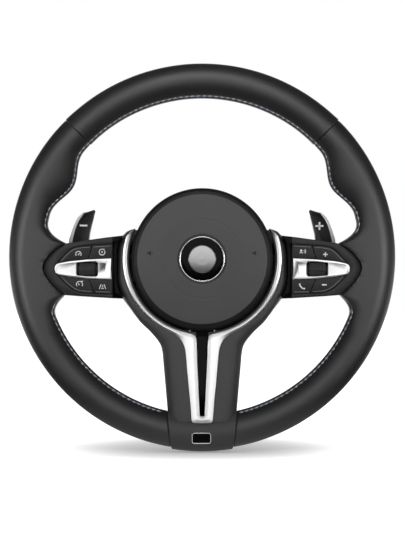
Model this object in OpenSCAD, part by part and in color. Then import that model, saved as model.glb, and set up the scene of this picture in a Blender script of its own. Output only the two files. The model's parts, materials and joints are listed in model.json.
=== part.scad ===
// A sports steering wheel for a road car: leather rim, horn cushion, switch pods and shift paddles.
// X is the driver's right, Y runs away from the driver along the steering axis, Z is up.
// The origin is on the steering axis, inside the hub's bore.

/* [Rim] */
// Outside diameter of the rim
rim_d = 370; // [364:1:376]
// Width of the grip, across the rim
grip_w = 33.6; // [32:0.2:35]
// Depth of the grip, along the steering axis
grip_depth = 34; // [32:0.5:36]
// Distance of the rim's middle plane in front of the origin
rim_reach = 48; // [46:0.5:50]
// Distance of the grip's crest inside the rim's outer edge
crest_in = 16.3; // [15:0.1:17.5]
// Height of the thumb rests on the inside of the rim
thumb_rise = 11.3; // [6:0.1:13]
// Angle of the thumb rests above the spokes
thumb_angle = 28.5; // [28:0.5:30]
// Half of the angle that a thumb rest takes up
thumb_spread = 13.2; // [10:0.2:14]
// Angle of the seams between the top leather and the side leathers
seam_angle = 45; // [44:1:50]
// Thickness of the leather
leather_t = 1.4; // [1:0.1:2]
// Diameter of the cast ring inside the rim
core_d = 12; // [10:0.5:13]

/* [Hub] */
// Diameter of the bore for the steering shaft
shaft_bore_d = 17; // [15:0.5:19]
// Length of the bore's wall
shaft_bore_len = 18; // [16:1:20]
// Diameter of the hub's boss
boss_d = 38; // [36:1:40]
// Diameter of the recess for the shaft's bolt head
bolt_recess_d = 29; // [26:1:30]
// Diameter of the hub's plate
plate_d = 104; // [98:1:108]
// Thickness of the hub's plate
plate_t = 6; // [5:0.5:7]
// Height of a side arm, across the spoke
arm_h = 26; // [22:1:28]
// Thickness of the arms
arm_t = 7; // [6:0.5:7.5]
// Width of each leg of the lower arm
leg_arm_w = 9; // [7:0.5:10]

/* [Horn cushion] */
// Diameter of the cushion
cushion_d = 136; // [134:1:137]
// How far the cushion's middle lies below the steering axis
cushion_drop = 2.5; // [0:0.5:4]
// Distance of the face's edge in front of the origin
cushion_reach = 57.5; // [56:0.5:59]
// How far the middle of the face stands out
crown = 4.5; // [2:0.5:6]
// Width of the rolled edge
roll_w = 5.5; // [4:0.5:7]
// Thickness of the cushion's wall
cushion_wall = 3; // [2.5:0.1:3.5]
// Travel of the cushion when the horn is pressed
horn_travel = 2; // [1:0.1:2.2]
// Diameter of the emblem
emblem_d = 44; // [40:1:46]
// Diameter of the gas generator
generator_d = 66; // [60:1:68]
// Radius on which the three guide pins stand
pin_circle_r = 44; // [43:0.5:45]
// Diameter of the guide pins
guide_pin_d = 6; // [5:0.5:7]

/* [Spoke cover] */
// Distance of the cover's face in front of the origin, beside the cushion
cover_reach = 53; // [51:0.5:54]
// Gap between the cushion and the cover
cushion_gap = 2.3; // [1.5:0.1:3]
// Distance from the cushion's edge to the cover's outer edge
band_w = 13.5; // [13:0.1:14]
// Width of the lower spoke below the cushion
leg_w = 77; // [72:1:80]
// Width of the lower spoke at the rim
leg_low_w = 66; // [62:1:68]
// Thickness of the cover's wall
cover_t = 2.5; // [2:0.1:3]
// How far the cover's foot stands out from the leather
foot_proud = 1.7; // [1:0.1:2]
// Half of the angle that the cover's foot takes up on the rim
foot_angle = 10.9; // [10:0.1:12]
// Width of the metal trim beside the cushion
trim_w = 4.2; // [3.6:0.1:4.6]
// Thickness of the metal trim
trim_t = 1.8; // [1.2:0.1:2.4]
// Width of the slot in the trim, at its top
slot_w = 11.4; // [9:0.2:13]
// Width of the slot at its foot
slot_low_w = 4.6; // [3:0.2:6]
// Width of the badge at the foot
badge_w = 18.5; // [16:0.5:20]
// Height of the badge
badge_h = 11; // [9:0.5:12]

/* [Switch pods] */
// Distance of the bezels' face in front of the origin
pod_reach = 58.5; // [57.5:0.5:60]
// Depth of a pod, from its face to the back of its housing
pod_depth = 20; // [19.8:0.1:20.2]
// Wall of the pod's bezel and housing
pod_wall = 1.6; // [1.3:0.1:2]
// Gap between two buttons
button_gap = 0.5; // [0.4:0.05:0.8]
// How far a button goes in
button_travel = 1; // [0.5:0.1:1.2]
// Diameter of the rollers
roller_d = 12.2; // [11:0.2:12.6]
// Length of the rollers
roller_len = 16.5; // [15:0.5:17]
// Diameter of the rollers' stub axles
stub_d = 3; // [2.4:0.2:3.4]

/* [Paddles] */
// Height of a paddle's tip above the steering axis
paddle_rise = 45.5; // [40:0.5:50]
// Thickness of a paddle's face
paddle_t = 1.8; // [1.4:0.1:2]
// Thickness of a paddle's metal plate
edge_plate_t = 1.6; // [1.2:0.1:1.8]
// Diameter of the paddles' hinge pins
hinge_pin_d = 3; // [2.5:0.1:3.5]

/* [Clearances] */
// Gap between pieces that move past each other
gap = 0.3; // [0.25:0.05:0.4]
// Radial gap between a pin and its bore
shaft_gap = 0.05; // [0.03:0.01:0.08]
// Gap between pieces that are fitted together
fit = 0.1; // [0.05:0.05:0.2]

/* [Hidden] */
$fn = 64;

rim_r = rim_d / 2;
crest_r = rim_r - crest_in;
grip_in_r = rim_r - grip_w;
cushion_r = cushion_d / 2;
cover_in_r = cushion_r + cushion_gap;
cushion_low = -cushion_drop - cushion_r;

// Elevations, seen from the steering axis, where the spoke's edges run into the rim
root_high = 5.5;
root_low = -15.7;
fillet_high = 7.6;
fillet_low = 6;
// The pod's nose reaches furthest at this elevation, and this far past the grip's inside
nose_mid = -4.3;
nose_in = 1.2;
// Degrees from the lowest point that the seams at the foot gain for each millimetre outwards
foot_lean = -0.104;
foot_lean_fade = 14;

function steps(a, b, n) = [for (i = [1:n]) a + (b - a) * i / n];
function signed_power(v, p) = sign(v) * pow(abs(v), p);
function mix(a, b, k) = a + (b - a) * k;

// Catmull-Rom curve through points, with n steps between two points
function curve_point(p0, p1, p2, p3, k) =
    0.5 * (2 * p1 + (p2 - p0) * k + (2 * p0 - 5 * p1 + 4 * p2 - p3) * k * k
        + (3 * p1 - p0 - 3 * p2 + p3) * k * k * k);
function curve(p, n) = concat(
    [for (i = [0:len(p) - 2], s = [0:n - 1])
        curve_point(p[max(i - 1, 0)], p[i], p[i + 1], p[min(i + 2, len(p) - 1)], s / n)],
    [p[len(p) - 1]]);
function mirrored(p) = [for (i = [len(p) - 1:-1:0]) [-p[i][0], p[i][1]]];

// Inside radius of the grip at an elevation above the horizontal
function pod_nose_r(e) = grip_in_r + nose_in
    - (e > nose_mid ? 0.455 * pow(e - nose_mid, 1.7) : 0.4226 * pow(nose_mid - e, 1.5));
function thumb(e) = abs(e - thumb_angle) < thumb_spread
    ? thumb_rise * pow(cos(90 * (e - thumb_angle) / thumb_spread), 2) : 0;
function grip_inner_r(e) =
    e > root_high + fillet_high ? grip_in_r - thumb(e)
    : e > root_high ? grip_in_r - thumb(e) - (grip_in_r - pod_nose_r(root_high))
        * pow(1 - (e - root_high) / fillet_high, 2.5)
    : e > root_low ? mix(pod_nose_r(root_low), pod_nose_r(root_high),
        (e - root_low) / (root_high - root_low))
    : e > root_low - fillet_low ? grip_in_r - (grip_in_r - pod_nose_r(root_low))
        * pow(1 - (root_low - e) / fillet_low, 2)
    : grip_in_r;
// How far the grip's inner half is squared off, from 0 on the free rim to 1 at the spokes
function root_weight(e) =
    e > root_high ? max(0, 1 - (e - root_high) / (2 * fillet_high))
    : e < root_low ? max(0, 1 - (root_low - e) / (2 * fillet_low)) : 1;
// Lean of the sections near the foot, by the angle from the rim's lowest point
function lean(u) = abs(u) <= foot_angle ? u / foot_angle
    : sign(u) * max(0, 1 - (abs(u) - foot_angle) / foot_lean_fade);
// A point on the grip: angle t round the wheel, f round the grip, inset under the leather's face
function grip_point(t, f, inset) =
    let (e = asin(sin(t)),
        outer = cos(f) >= 0,
        n = outer ? 2 : 2 + 2 * root_weight(e),
        free_r = crest_r + (outer ? (crest_in - inset) * cos(f)
            : (crest_r - grip_inner_r(e) - inset) * signed_power(cos(f), 2 / n)),
        seat_r = e < root_high && e > root_low ? pod_nose_r(e) + inset : 0,
        r = max(free_r, seat_r),
        y = -rim_reach - (grip_depth / 2 - inset) * signed_power(sin(f), 2 / n),
        u = t < 0 ? t + 90 : t > 180 ? t - 270 : 90,
        angle = t + (abs(u) < 45 ? foot_lean * lean(u) * (r - crest_r) : 0))
    [r * cos(angle), y, r * sin(angle)];
grip_sides = 18;
function grip_ring(t, inset) =
    [for (j = [0:grip_sides - 1]) grip_point(t, 360 * j / grip_sides, inset)];
function core_ring(t) = [for (j = [0:grip_sides - 1])
    let (r = crest_r + (core_d / 2 + fit) / cos(180 / grip_sides) * cos(360 * j / grip_sides),
        y = -rim_reach - (core_d / 2 + fit) / cos(180 / grip_sides) * sin(360 * j / grip_sides))
    [r * cos(t), y, r * sin(t)]];

// Elevations of the sections on one side, from the lowest point to the highest
foot_e = -90 + foot_angle;
root_steps = 10;
side_steps = concat([-90], steps(-90, foot_e, 3), steps(foot_e, root_low - fillet_low, 9),
    steps(root_low - fillet_low, root_low, 3), steps(root_low, root_high, root_steps),
    steps(root_high, root_high + fillet_high, 4),
    steps(root_high + fillet_high, seam_angle, 11), steps(seam_angle, 90, 7));
function between(a, b) = [for (e = side_steps) if (e > a - 0.01 && e < b + 0.01) e];
function left_of(es) = [for (i = [len(es) - 1:-1:0]) 180 - es[i]];

// A wall between two sheets of points. Both sheets have rows of the same length.
function wall_faces(n, m, row_loop, col_loop, flip) =
    let (last_i = row_loop ? n - 1 : n - 2, last_j = col_loop ? m - 1 : m - 2,
        back = n * m,
        a = function (i, j) (i % n) * m + j % m,
        b = function (i, j) back + (i % n) * m + j % m,
        faces = concat(
            [for (i = [0:last_i], j = [0:last_j]) each
                [[a(i, j), a(i, j + 1), a(i + 1, j + 1)], [a(i, j), a(i + 1, j + 1), a(i + 1, j)]]],
            [for (i = [0:last_i], j = [0:last_j]) each
                [[b(i, j), b(i + 1, j + 1), b(i, j + 1)], [b(i, j), b(i + 1, j), b(i + 1, j + 1)]]],
            row_loop ? [] : [for (j = [0:last_j]) each
                [[a(0, j), b(0, j), b(0, j + 1)], [a(0, j), b(0, j + 1), a(0, j + 1)],
                [a(n - 1, j), b(n - 1, j + 1), b(n - 1, j)],
                [a(n - 1, j), a(n - 1, j + 1), b(n - 1, j + 1)]]],
            col_loop ? [] : [for (i = [0:last_i]) each
                [[a(i, 0), b(i + 1, 0), b(i, 0)], [a(i, 0), a(i + 1, 0), b(i + 1, 0)],
                [a(i, m - 1), b(i, m - 1), b(i + 1, m - 1)],
                [a(i, m - 1), b(i + 1, m - 1), a(i + 1, m - 1)]]]))
    flip ? [for (f = faces) [f[2], f[1], f[0]]] : faces;
module wall(outer, inner, row_loop = false, col_loop = false, flip = false) {
    polyhedron(points = concat([for (row = outer) each row], [for (row = inner) each row]),
        faces = wall_faces(len(outer), len(outer[0]), row_loop, col_loop, flip));
}

// Extrude a shape drawn in X and Z from one depth to another, or one drawn in Y and Z across X
module along_y(y0, y1) {
    translate([0, y1, 0]) rotate([90, 0, 0]) linear_extrude(y1 - y0) children();
}
module across_x(x0, x1) {
    translate([x0, 0, 0]) rotate([90, 0, 90]) linear_extrude(x1 - x0) children();
}
module turned_on_y() {
    rotate([90, 0, 0]) rotate_extrude($fn = 128) children();
}
module on_cushion_axis() {
    translate([0, 0, -cushion_drop]) children();
}

module leather(angles) {
    wall([for (t = angles) grip_ring(t, 0)], [for (t = angles) grip_ring(t, leather_t)], col_loop = true);
}
module rim_leather_top() {
    color("#2b2b2d") leather(concat(between(seam_angle, 90), left_of(between(seam_angle, 89))));
}
// The side leathers are open where the arms and the foam round them come in
module rim_leather_right() {
    color("#2b2b2d") difference() {
        leather(between(foot_e, seam_angle));
        collar(fit);
    }
}
module rim_leather_left() {
    color("#2b2b2d") difference() {
        leather(left_of(between(foot_e, seam_angle)));
        mirror([1, 0, 0]) collar(fit);
    }
}

// A closed body skinned over rows of points. Each row goes round the body once.
module body_of(rows, row_loop = false) {
    n = len(rows);
    m = len(rows[0]);
    faces = concat(
        [for (i = [0:row_loop ? n - 1 : n - 2], j = [0:m - 1]) each
            [[i * m + j, i * m + (j + 1) % m, (i + 1) % n * m + (j + 1) % m],
            [i * m + j, (i + 1) % n * m + (j + 1) % m, (i + 1) % n * m + j]]],
        row_loop ? [] : [for (j = [1:m - 2]) each
            [[0, j + 1, j], [(n - 1) * m, (n - 1) * m + j, (n - 1) * m + j + 1]]]);
    polyhedron(points = [for (row = rows) each row], faces = faces);
}
// The grip's inside as one solid, for what is cut to fit on the foam
module grip_body(angles, inset) {
    body_of([for (t = angles) grip_ring(t, inset)]);
}

// Side arms: a bent bar in X and Y, as high as arm_h. The spokes' middle lies at spoke_z.
spoke_z = -11;
arm_face = pod_reach - pod_depth;
arm_back = -arm_face + arm_t;
plate_face = 12;
plate_back = plate_face - plate_t;
// How far the ends of the arms and legs stay inside the cast ring
core_bury = 2;
function arm_outline(margin) = [
    [plate_d / 2 - 4, -plate_face - margin], [cushion_r, -16.5 - margin],
    [cushion_r + 5 - margin / 2, -22 - margin],
    [grip_in_r - 65.4 - margin, -arm_face - margin], [grip_in_r + 1.5, -arm_face - margin],
    [crest_r - 4.5, -rim_reach + 3.6 - core_d / 2 - margin], [crest_r - core_bury, -rim_reach - margin],
    [crest_r - core_bury, -rim_reach + core_d / 2 - core_bury + margin],
    [grip_in_r, arm_back + margin], [grip_in_r - 62.4, arm_back + margin],
    [cushion_r + 11 + margin / 2, -17 + margin], [cushion_r + 4, -9 + margin],
    [plate_d / 2 - 12, -plate_back + margin]];
module arm_shape(margin) {
    translate([0, 0, spoke_z - arm_h / 2 - margin])
        linear_extrude(arm_h + 2 * margin) polygon(arm_outline(margin));
}
// Foam round an arm where it comes into the rim, behind the switch housing
collar_t = 2.5;
collar_out = 6;
module collar(margin) {
    intersection() {
        arm_shape(collar_t + margin);
        translate([grip_in_r - 8 - margin, -arm_face + fit - margin, -50])
            cube([8 + collar_out + 2 * margin, 100, 100]);
    }
}
// The collar's root, inside the grip
module collar_root() {
    intersection() {
        arm_shape(collar_t);
        translate([grip_in_r + 3.5, -rim_reach, -50]) cube([collar_out - 3.5, rim_reach, 100]);
    }
}
// Legs of the lower arm: bent bars in Y and Z, each leg_arm_w wide
leg_inside = 12;
leg_bend = cushion_low - 17.5;
function leg_outline(margin) = [
    [-plate_face - margin, -40], [-16.5 - margin, cushion_low + 2.5],
    [-22 - margin, cushion_low - 2.5 + margin / 2],
    [-40 - margin, leg_bend + margin], [-rim_reach + 1 - margin, -grip_in_r],
    [-rim_reach - margin, -crest_r + core_bury],
    [-rim_reach + core_d / 2 - core_bury + margin, -crest_r + core_bury],
    [-rim_reach + 8 + margin, -grip_in_r], [-33 + margin, leg_bend - 2],
    [-17 + margin, cushion_low - 9.5 - margin / 2],
    [-9 + margin, cushion_low - 1.5], [-plate_back + margin, -40]];
module leg_shape(margin) {
    for (side = [0, 1]) mirror([side, 0, 0])
        across_x(leg_inside - margin, leg_inside + leg_arm_w + margin) polygon(leg_outline(margin));
}
pin_angles = [90, 210, 330];
cover_screw_angles = [50, 130, 250, 290];
cover_screw_r = 43;
screw_d = 3.2;
module at_polar(angles, r) {
    for (a = angles) translate([r * cos(a), 0, r * sin(a)]) children();
}

module armature() {
    bore_back = shaft_bore_len - 4;
    color("#8f9396") difference() {
        union() {
            along_y(-plate_face, -plate_back) circle(d = plate_d);
            along_y(-plate_face, bore_back) circle(d = boss_d);
            for (side = [0, 1]) mirror([side, 0, 0]) arm_shape(0);
            leg_shape(0);
            translate([0, -rim_reach, 0]) turned_on_y() translate([crest_r, 0]) circle(d = core_d);
        }
        along_y(-20, 20) circle(d = shaft_bore_d);
        along_y(-20, bore_back - shaft_bore_len) circle(d = bolt_recess_d);
        at_polar(pin_angles, pin_circle_r) along_y(-20, 0) circle(d = guide_pin_d + 2 * shaft_gap);
        at_polar(cover_screw_angles, cover_screw_r) along_y(-20, 0) circle(d = screw_d + 2 * fit);
    }
}

module rim_foam() {
    angles = concat(side_steps, left_of([for (i = [1:len(side_steps) - 2]) side_steps[i]]));
    color("#3a3a3c") difference() {
        union() {
            wall([for (t = angles) grip_ring(t, leather_t)], [for (t = angles) core_ring(t)],
                row_loop = true, col_loop = true);
            for (side = [0, 1]) mirror([side, 0, 0]) {
                along_y(-arm_face + fit, arm_back + 0.6)
                    mirror([1, 0]) offset(delta = -1.2) pod_2d();
                collar(0);
                collar_root();
            }
        }
        for (side = [0, 1]) mirror([side, 0, 0]) {
            arm_shape(fit);
            // windows for the wires and for the paddle's bracket
            translate([wire_x - 10.5, -60, wire_z - 3.2]) cube([16, 60, 6.5]);
            translate([-hinge_x - 7, arm_back - 0.1, hinge_low - 0.5])
                cube([20, 20, hinge_high - hinge_low + 1]);
        }
        leg_shape(fit);
        translate([0, -rim_reach, 0]) turned_on_y() translate([crest_r, 0]) circle(d = core_d + 2 * fit);
    }
}

// Outlines of the spoke cover, seen from the front. A place by the cushion is an angle above the
// horizontal on the left and a distance outside the cushion.
function beside_cushion(a, d) =
    [-(cushion_r + d) * cos(a), -cushion_drop + (cushion_r + d) * sin(a)];
cover_side = curve([
    beside_cushion(24.2, cushion_gap + 0.6), beside_cushion(21.5, 6.8), beside_cushion(18.5, 9.3),
    beside_cushion(10, band_w - 0.4), beside_cushion(-4, band_w + 0.2),
    beside_cushion(-20, band_w + 3), beside_cushion(-42, band_w + 2.7),
    beside_cushion(-54.3, band_w + 4.1), [-leg_w / 2 - 3.5, cushion_low - 11],
    [-leg_w / 2, cushion_low - 19.5], [-leg_w / 2 + 1.8, cushion_low - 37],
    [-leg_low_w / 2, -grip_in_r + 3], [-leg_low_w / 2 + 1.5, -grip_in_r - 8.6]], 3);
// The cover's face runs level beside the cushion and then out to the rim's front
level_z = -72;
face_slope = (rim_reach + grip_depth / 2 + 0.5 - cover_reach) / (grip_in_r + 11.6 + level_z);
function face_y(z) = -cover_reach - max(0, level_z - z) * face_slope;
cover_back = -36;
leg_z = cushion_low - 19.5;
function elevation(p) = atan2(p[1] + cushion_drop, -p[0]);
function slot_half(z) = mix(slot_w / 2, slot_low_w / 2,
    min(1, max(0, (cushion_low - 7.5 - z) / (grip_in_r - 0.4 + cushion_low - 7.5))));
slot_end = -grip_in_r - 0.6;
slot_corner = 85.3;
cover_end = -grip_in_r - 8.6;
function cover_inner(p) =
    p[1] <= cover_end ? [-1.2, slot_end]
    : p[1] < leg_z ? let (z = mix(-cushion_drop - cover_in_r + 0.2, slot_end + 1.5,
        (leg_z - p[1]) / (leg_z - cover_end))) [-slot_half(z), z]
    : let (a = elevation(p), low = elevation([-leg_w / 2, leg_z]))
        beside_cushion(a > -45 ? a : -45 - (-45 - a) * (slot_corner - 45) / (-45 - low), cushion_gap);
slot_lip = cover_t + 2.5;
function cover_row(q, p, inset) =
    let (long = norm(p - q), way = (p - q) / long,
        leg = min(1, max(0, (-60 - p[1]) / 30)),
        in_slot = min(1, max(0, (-66 - p[1]) / 20)),
        round_w = min(mix(5.2, 14, leg), 0.75 * long), drop = min(mix(7, 11, leg), round_w * 1.4),
        t = min(inset, 0.3 * long),
        places = [[0, -1], [0, 0.8], [0.8, 0], [long - round_w, 0],
            [long - 0.62 * round_w, 0.09 * drop], [long - 0.3 * round_w, 0.32 * drop],
            [long - 0.08 * round_w, 0.68 * drop], [long, drop], [long, -2]])
    [for (s = places)
        let (across = t + s[0] * (long - 2 * t) / long, spot = q + way * across)
        [spot[0], s[1] == -2 ? cover_back
            : s[1] == -1 ? mix(cover_back, face_y(spot[1]) + slot_lip, in_slot)
            : face_y(spot[1]) + s[1] + (inset > 0 ? cover_t : 0), spot[1]]];
foot_angles = concat([-90 - foot_angle, -90 - foot_angle + 0.5],
    steps(-90 - foot_angle, foot_e, 6));
cover_outer = concat(cover_side, [[-20, cover_end - 3], [0, cover_end - 4.5]]);
cover_inside = concat([for (p = cover_side) cover_inner(p)], [[-0.8, slot_end], [0, slot_end]]);
function cover_sheet(inset) =
    let (left = [for (i = [0:len(cover_outer) - 1]) cover_row(cover_inside[i], cover_outer[i], inset)])
    concat(left, [for (i = [len(left) - 2:-1:0]) [for (p = left[i]) [-p[0], p[1], p[2]]]]);
// Badge: a small plate in a frame, tilted to the foot's round face
badge_tilt = 12;
module on_badge() {
    translate([-0.7, -rim_reach - grip_depth / 2 - foot_proud + 0.9, -crest_r - 4])
        rotate([badge_tilt, 0, 0]) children();
}
module badge_2d(margin) {
    offset(r = 2.6 + margin) square([badge_w - 5.2, badge_h - 5.2], center = true);
}
module rounded_post(x, z, y0, y1) {
    hull() {
        along_y(y0 - 1, y0) translate([x, z]) circle(d = 7, $fn = 16);
        along_y(y1, y1 + 1) translate([x, z]) circle(d = 9, $fn = 16);
    }
}
module spoke_cover() {
    posts = [[leg_inside + 4.5, -96], [leg_inside + 4.5, -112], [leg_inside + 4.5, -128],
        [leg_inside + 4.5, -142]];
    color("#3b3b3d") union() {
        difference() {
            union() {
                wall(cover_sheet(0), cover_sheet(cover_t), flip = true);
                wall([for (t = foot_angles)
                        grip_ring(t, -foot_proud * (abs(abs(t + 90) - foot_angle) < 0.1 ? 0.55 : 1))],
                    [for (t = foot_angles) grip_ring(t, leather_t)], col_loop = true);
            }
            grip_body([for (u = [-16:4:16]) -90 + u], leather_t - 0.02);
            for (side = [0, 1]) mirror([side, 0, 0])
                grip_body(concat([foot_e + 0.05], between(foot_e + 0.1, -60)), -0.05);
            leg_shape(gap);
            on_badge() along_y(-1, 6) badge_2d(fit);
        }
        for (side = [-1, 1], p = posts) {
            rounded_post(side * p[0], p[1], leg_front(p[1] - 3.5), face_y(p[1]) + cover_t - 0.9);
        }
    }
}
// Front of the lower arm's legs at a height, below the bend
function leg_front(z) = mix(-40, -rim_reach + 1, (leg_bend - z) / (grip_in_r + leg_bend));

// Trim: rows of an inner and an outer point, from the tip beside the cushion to the foot
trim_in = cushion_gap + 1.5;
arm_outer = curve([[-25, cushion_low - 5], [-20.4, cushion_low - 9.2], [-17.4, cushion_low - 14.5],
    [-16, cushion_low - 20], [-15.1, cushion_low - 29], [-13.3, cushion_low - 49.5],
    [-11.3, -grip_in_r + 11.4], [-10.2, -grip_in_r - 4]], 2);
arm_inner = curve([[-20.5, cushion_low - 0.9], [-13.5, cushion_low - 2.8], [-8.4, cushion_low - 4.2],
    [-slot_w / 2 - 0.1, cushion_low - 8], [-slot_half(-97), -97], [-slot_half(-118), -118],
    [-slot_half(-138), -138], [-slot_low_w / 2, slot_end + 1.2]], 2);
trim_inner = concat([beside_cushion(24, 2.9), beside_cushion(21.5, 3.3), beside_cushion(19, 3.7)],
    [for (a = steps(17, -66, 17)) beside_cushion(a, trim_in)], arm_inner,
    [[-slot_low_w / 2 + 1, slot_end], [0, slot_end]]);
trim_outer = concat([beside_cushion(24.3, 3.2), beside_cushion(21.5, 5.2), beside_cushion(19, 7.2)],
    [for (a = steps(17, -66, 17)) beside_cushion(a, trim_in + trim_w)], arm_outer,
    [[-8, -grip_in_r - 7], [0, -grip_in_r - 7.2]]);
function trim_row(q, p) =
    let (crest = q + (p - q) * min(0.55, 4 / norm(p - q)))
    [for (s = [[p, 0], [p, 0.6], [crest, 1], [q, 0.5], [q, 0]])
        [s[0][0], face_y(s[0][1]) - fit / 2 - s[1] * trim_t, s[0][1]]];
module trim() {
    left_rows = [for (i = [0:len(trim_inner) - 1]) trim_row(trim_inner[i], trim_outer[i])];
    right_rows = [for (i = [len(left_rows) - 2:-1:0]) [for (p = left_rows[i]) [-p[0], p[1], p[2]]]];
    color("#d8d9db") body_of(concat(left_rows, right_rows));
}

// Gloss floor of the slot, on the inside of the cover
insert_t = 2;
module slot_insert() {
    top = -cushion_drop - cover_in_r - cover_t - 1;
    foot = slot_end + 1;
    color("#0c0c0d") intersection() {
        across_x(-30, 30) polygon([[face_y(top) + slot_lip + fit, top],
            [face_y(top) + slot_lip + fit + insert_t, top],
            [face_y(foot) + slot_lip + fit + insert_t, foot], [face_y(foot) + slot_lip + fit, foot]]);
        along_y(-90, -30) polygon([[-slot_w / 2 - 3, top + 1], [slot_w / 2 + 3, top + 1],
            [slot_low_w / 2 + 4, foot], [-slot_low_w / 2 - 4, foot]]);
    }
}

module badge_frame() {
    color("#d8d9db") on_badge() difference() {
        along_y(-0.9, 1.5) badge_2d(0);
        along_y(-2, 3) badge_2d(-0.9);
    }
}
module badge_plate() {
    color("#0c0c0d") on_badge() along_y(-0.5, 1.3) badge_2d(-0.9 - fit / 2);
}

// Rear cover: a round tray behind the cushion with a wing behind each side arm, and a flange that
// closes the view through the gap between the cushion and the spoke cover
tray_r = cushion_r - 1;
tray_wall = 2.4;
tray_floor = 2.5;
tray_front = -20.5;
flange_t = 2;
tray_flange_r = cover_in_r + 2.4;
tray_flange_high = 26;
module turned(points) {
    turned_on_y() polygon([for (p = points) [p[0], -p[1]]]);
}
// Hinge of a paddle, behind the arm, drawn on the left
hinge_stand = 7.5;
hinge_x = pod_x(58.4);
hinge_y = arm_back + hinge_stand;
hinge_low = -24;
hinge_high = 6;
plug_w = 30;
plug_h = 12;
plug_z = -31;
wing_end = -hinge_x + 7;
wing_back = hinge_y + 11;
wing_front = hinge_y + 3.5;
wing_near = cushion_r + 6;
module wing() {
    sheet = [[wing_near - 16, -3], [wing_near, -3], [wing_end - 16, wing_back + 2], [wing_end, wing_back],
        [wing_end, wing_front], [wing_end - 2, wing_front], [wing_end - 2, wing_back - 2],
        [wing_end - 17, wing_back], [wing_near - 1, -5], [wing_near - 16, -5]];
    side = [[wing_near - 8, -4], [wing_near, -4], [wing_end - 16, wing_back + 1],
        [wing_end - 1, wing_back - 1], [wing_end - 1, wing_front], [wing_near - 4, wing_front]];
    translate([0, 0, spoke_z - 22]) linear_extrude(47) polygon(sheet);
    for (z = [spoke_z - 22, spoke_z + 23]) translate([0, 0, z]) linear_extrude(2) polygon(side);
}
module tray_flange() {
    along_y(tray_front, tray_front + flange_t) difference() {
        intersection() {
            union() {
                translate([0, -cushion_drop]) circle(r = tray_flange_r, $fn = 128);
                translate([-8, -cushion_drop - tray_flange_r - 5]) square([16, 10]);
            }
            translate([-100, -100]) square([200, 100 + tray_flange_high]);
        }
        translate([0, -cushion_drop]) circle(r = tray_r - 1, $fn = 128);
    }
}
module rear_cover() {
    color("#2f2f31") difference() {
        union() {
            on_cushion_axis() turned([[24, tray_floor - tray_wall], [58, tray_floor - tray_wall],
                [tray_r - tray_wall, -10], [tray_r - tray_wall, tray_front], [tray_r, tray_front],
                [tray_r, -9], [59.5, tray_floor], [24, tray_floor]]);
            tray_flange();
            at_polar(cover_screw_angles, cover_screw_r) along_y(-plate_back, tray_floor - 0.5) circle(d = 9);
            for (side = [0, 1]) mirror([side, 0, 0]) wing();
        }
        // windows for the arms, the boss and the plug
        for (side = [0, 1]) mirror([side, 0, 0])
            translate([56, -30, spoke_z - 20]) cube([18, 24.5, 43]);
        translate([-24, tray_front + flange_t, -90]) cube([48, 16.5, 38]);
        arm_shape(gap);
        mirror([1, 0, 0]) arm_shape(gap);
        leg_shape(gap);
        along_y(-10, 10) circle(d = boss_d + 6);
        translate([-plug_w / 2 - 1, -10, plug_z - plug_h / 2 - 1]) cube([plug_w + 2, 20, plug_h + 2]);
        at_polar(cover_screw_angles, cover_screw_r) along_y(-10, 10) circle(d = screw_d + 2 * fit);
    }
}
// Back cover of the lower spoke: a shell between the rear cover and the rim, behind the arm's legs
back_wall = 2;
back_end = -grip_in_r + 1.4;
back_low = -rim_reach + 13.3;
function back_face(d) = [[cover_back + fit, back_end - 5], [cover_back + fit, -60], [-19 - d, -60],
    [-14 + 1.1 * d, cushion_low - 10.5 + d], [-31.5 + d, leg_bend - 4], [back_low + d, back_end - 5]];
module back_outline(inset) {
    difference() {
        intersection() {
            cover_2d(-inset);
            translate([-80, back_end + max(0, inset - fit)]) square([160, 84]);
        }
        translate([0, -cushion_drop]) circle(r = tray_flange_r + 0.5 + max(0, inset - fit), $fn = 96);
        translate([-90, -66]) square([180, 200]);
    }
}
module lower_back_cover() {
    color("#2f2f31") {
        difference() {
            intersection() {
                across_x(-80, 80) polygon(back_face(back_wall));
                along_y(-40, 0) back_outline(fit);
            }
            intersection() {
                across_x(-90, 90) polygon([for (p = back_face(0)) [p[0] < -35 ? -50 : p[0], p[1]]]);
                along_y(-60, 0) back_outline(fit + back_wall);
            }
            translate([-24, -60, -82]) cube([48, 80, 30]);
        }
    }
}
module connector_block() {
    color("#1d1d1f") difference() {
        translate([-plug_w / 2, -plate_back, plug_z - plug_h / 2]) cube([plug_w, 15, plug_h]);
        translate([-plug_w / 2 + 1.5, -plate_back + 4, plug_z - plug_h / 2 + 1.5])
            cube([plug_w - 3, 15, plug_h - 3]);
    }
}
module cover_screws() {
    color("#77797c") at_polar(cover_screw_angles, cover_screw_r) {
        along_y(-plate_face + 1, tray_floor) circle(d = screw_d);
        difference() {
            along_y(tray_floor, tray_floor + 2) circle(d = 6.4);
            along_y(tray_floor + 0.8, tray_floor + 3) circle(d = 2.6, $fn = 6);
        }
    }
}
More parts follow.
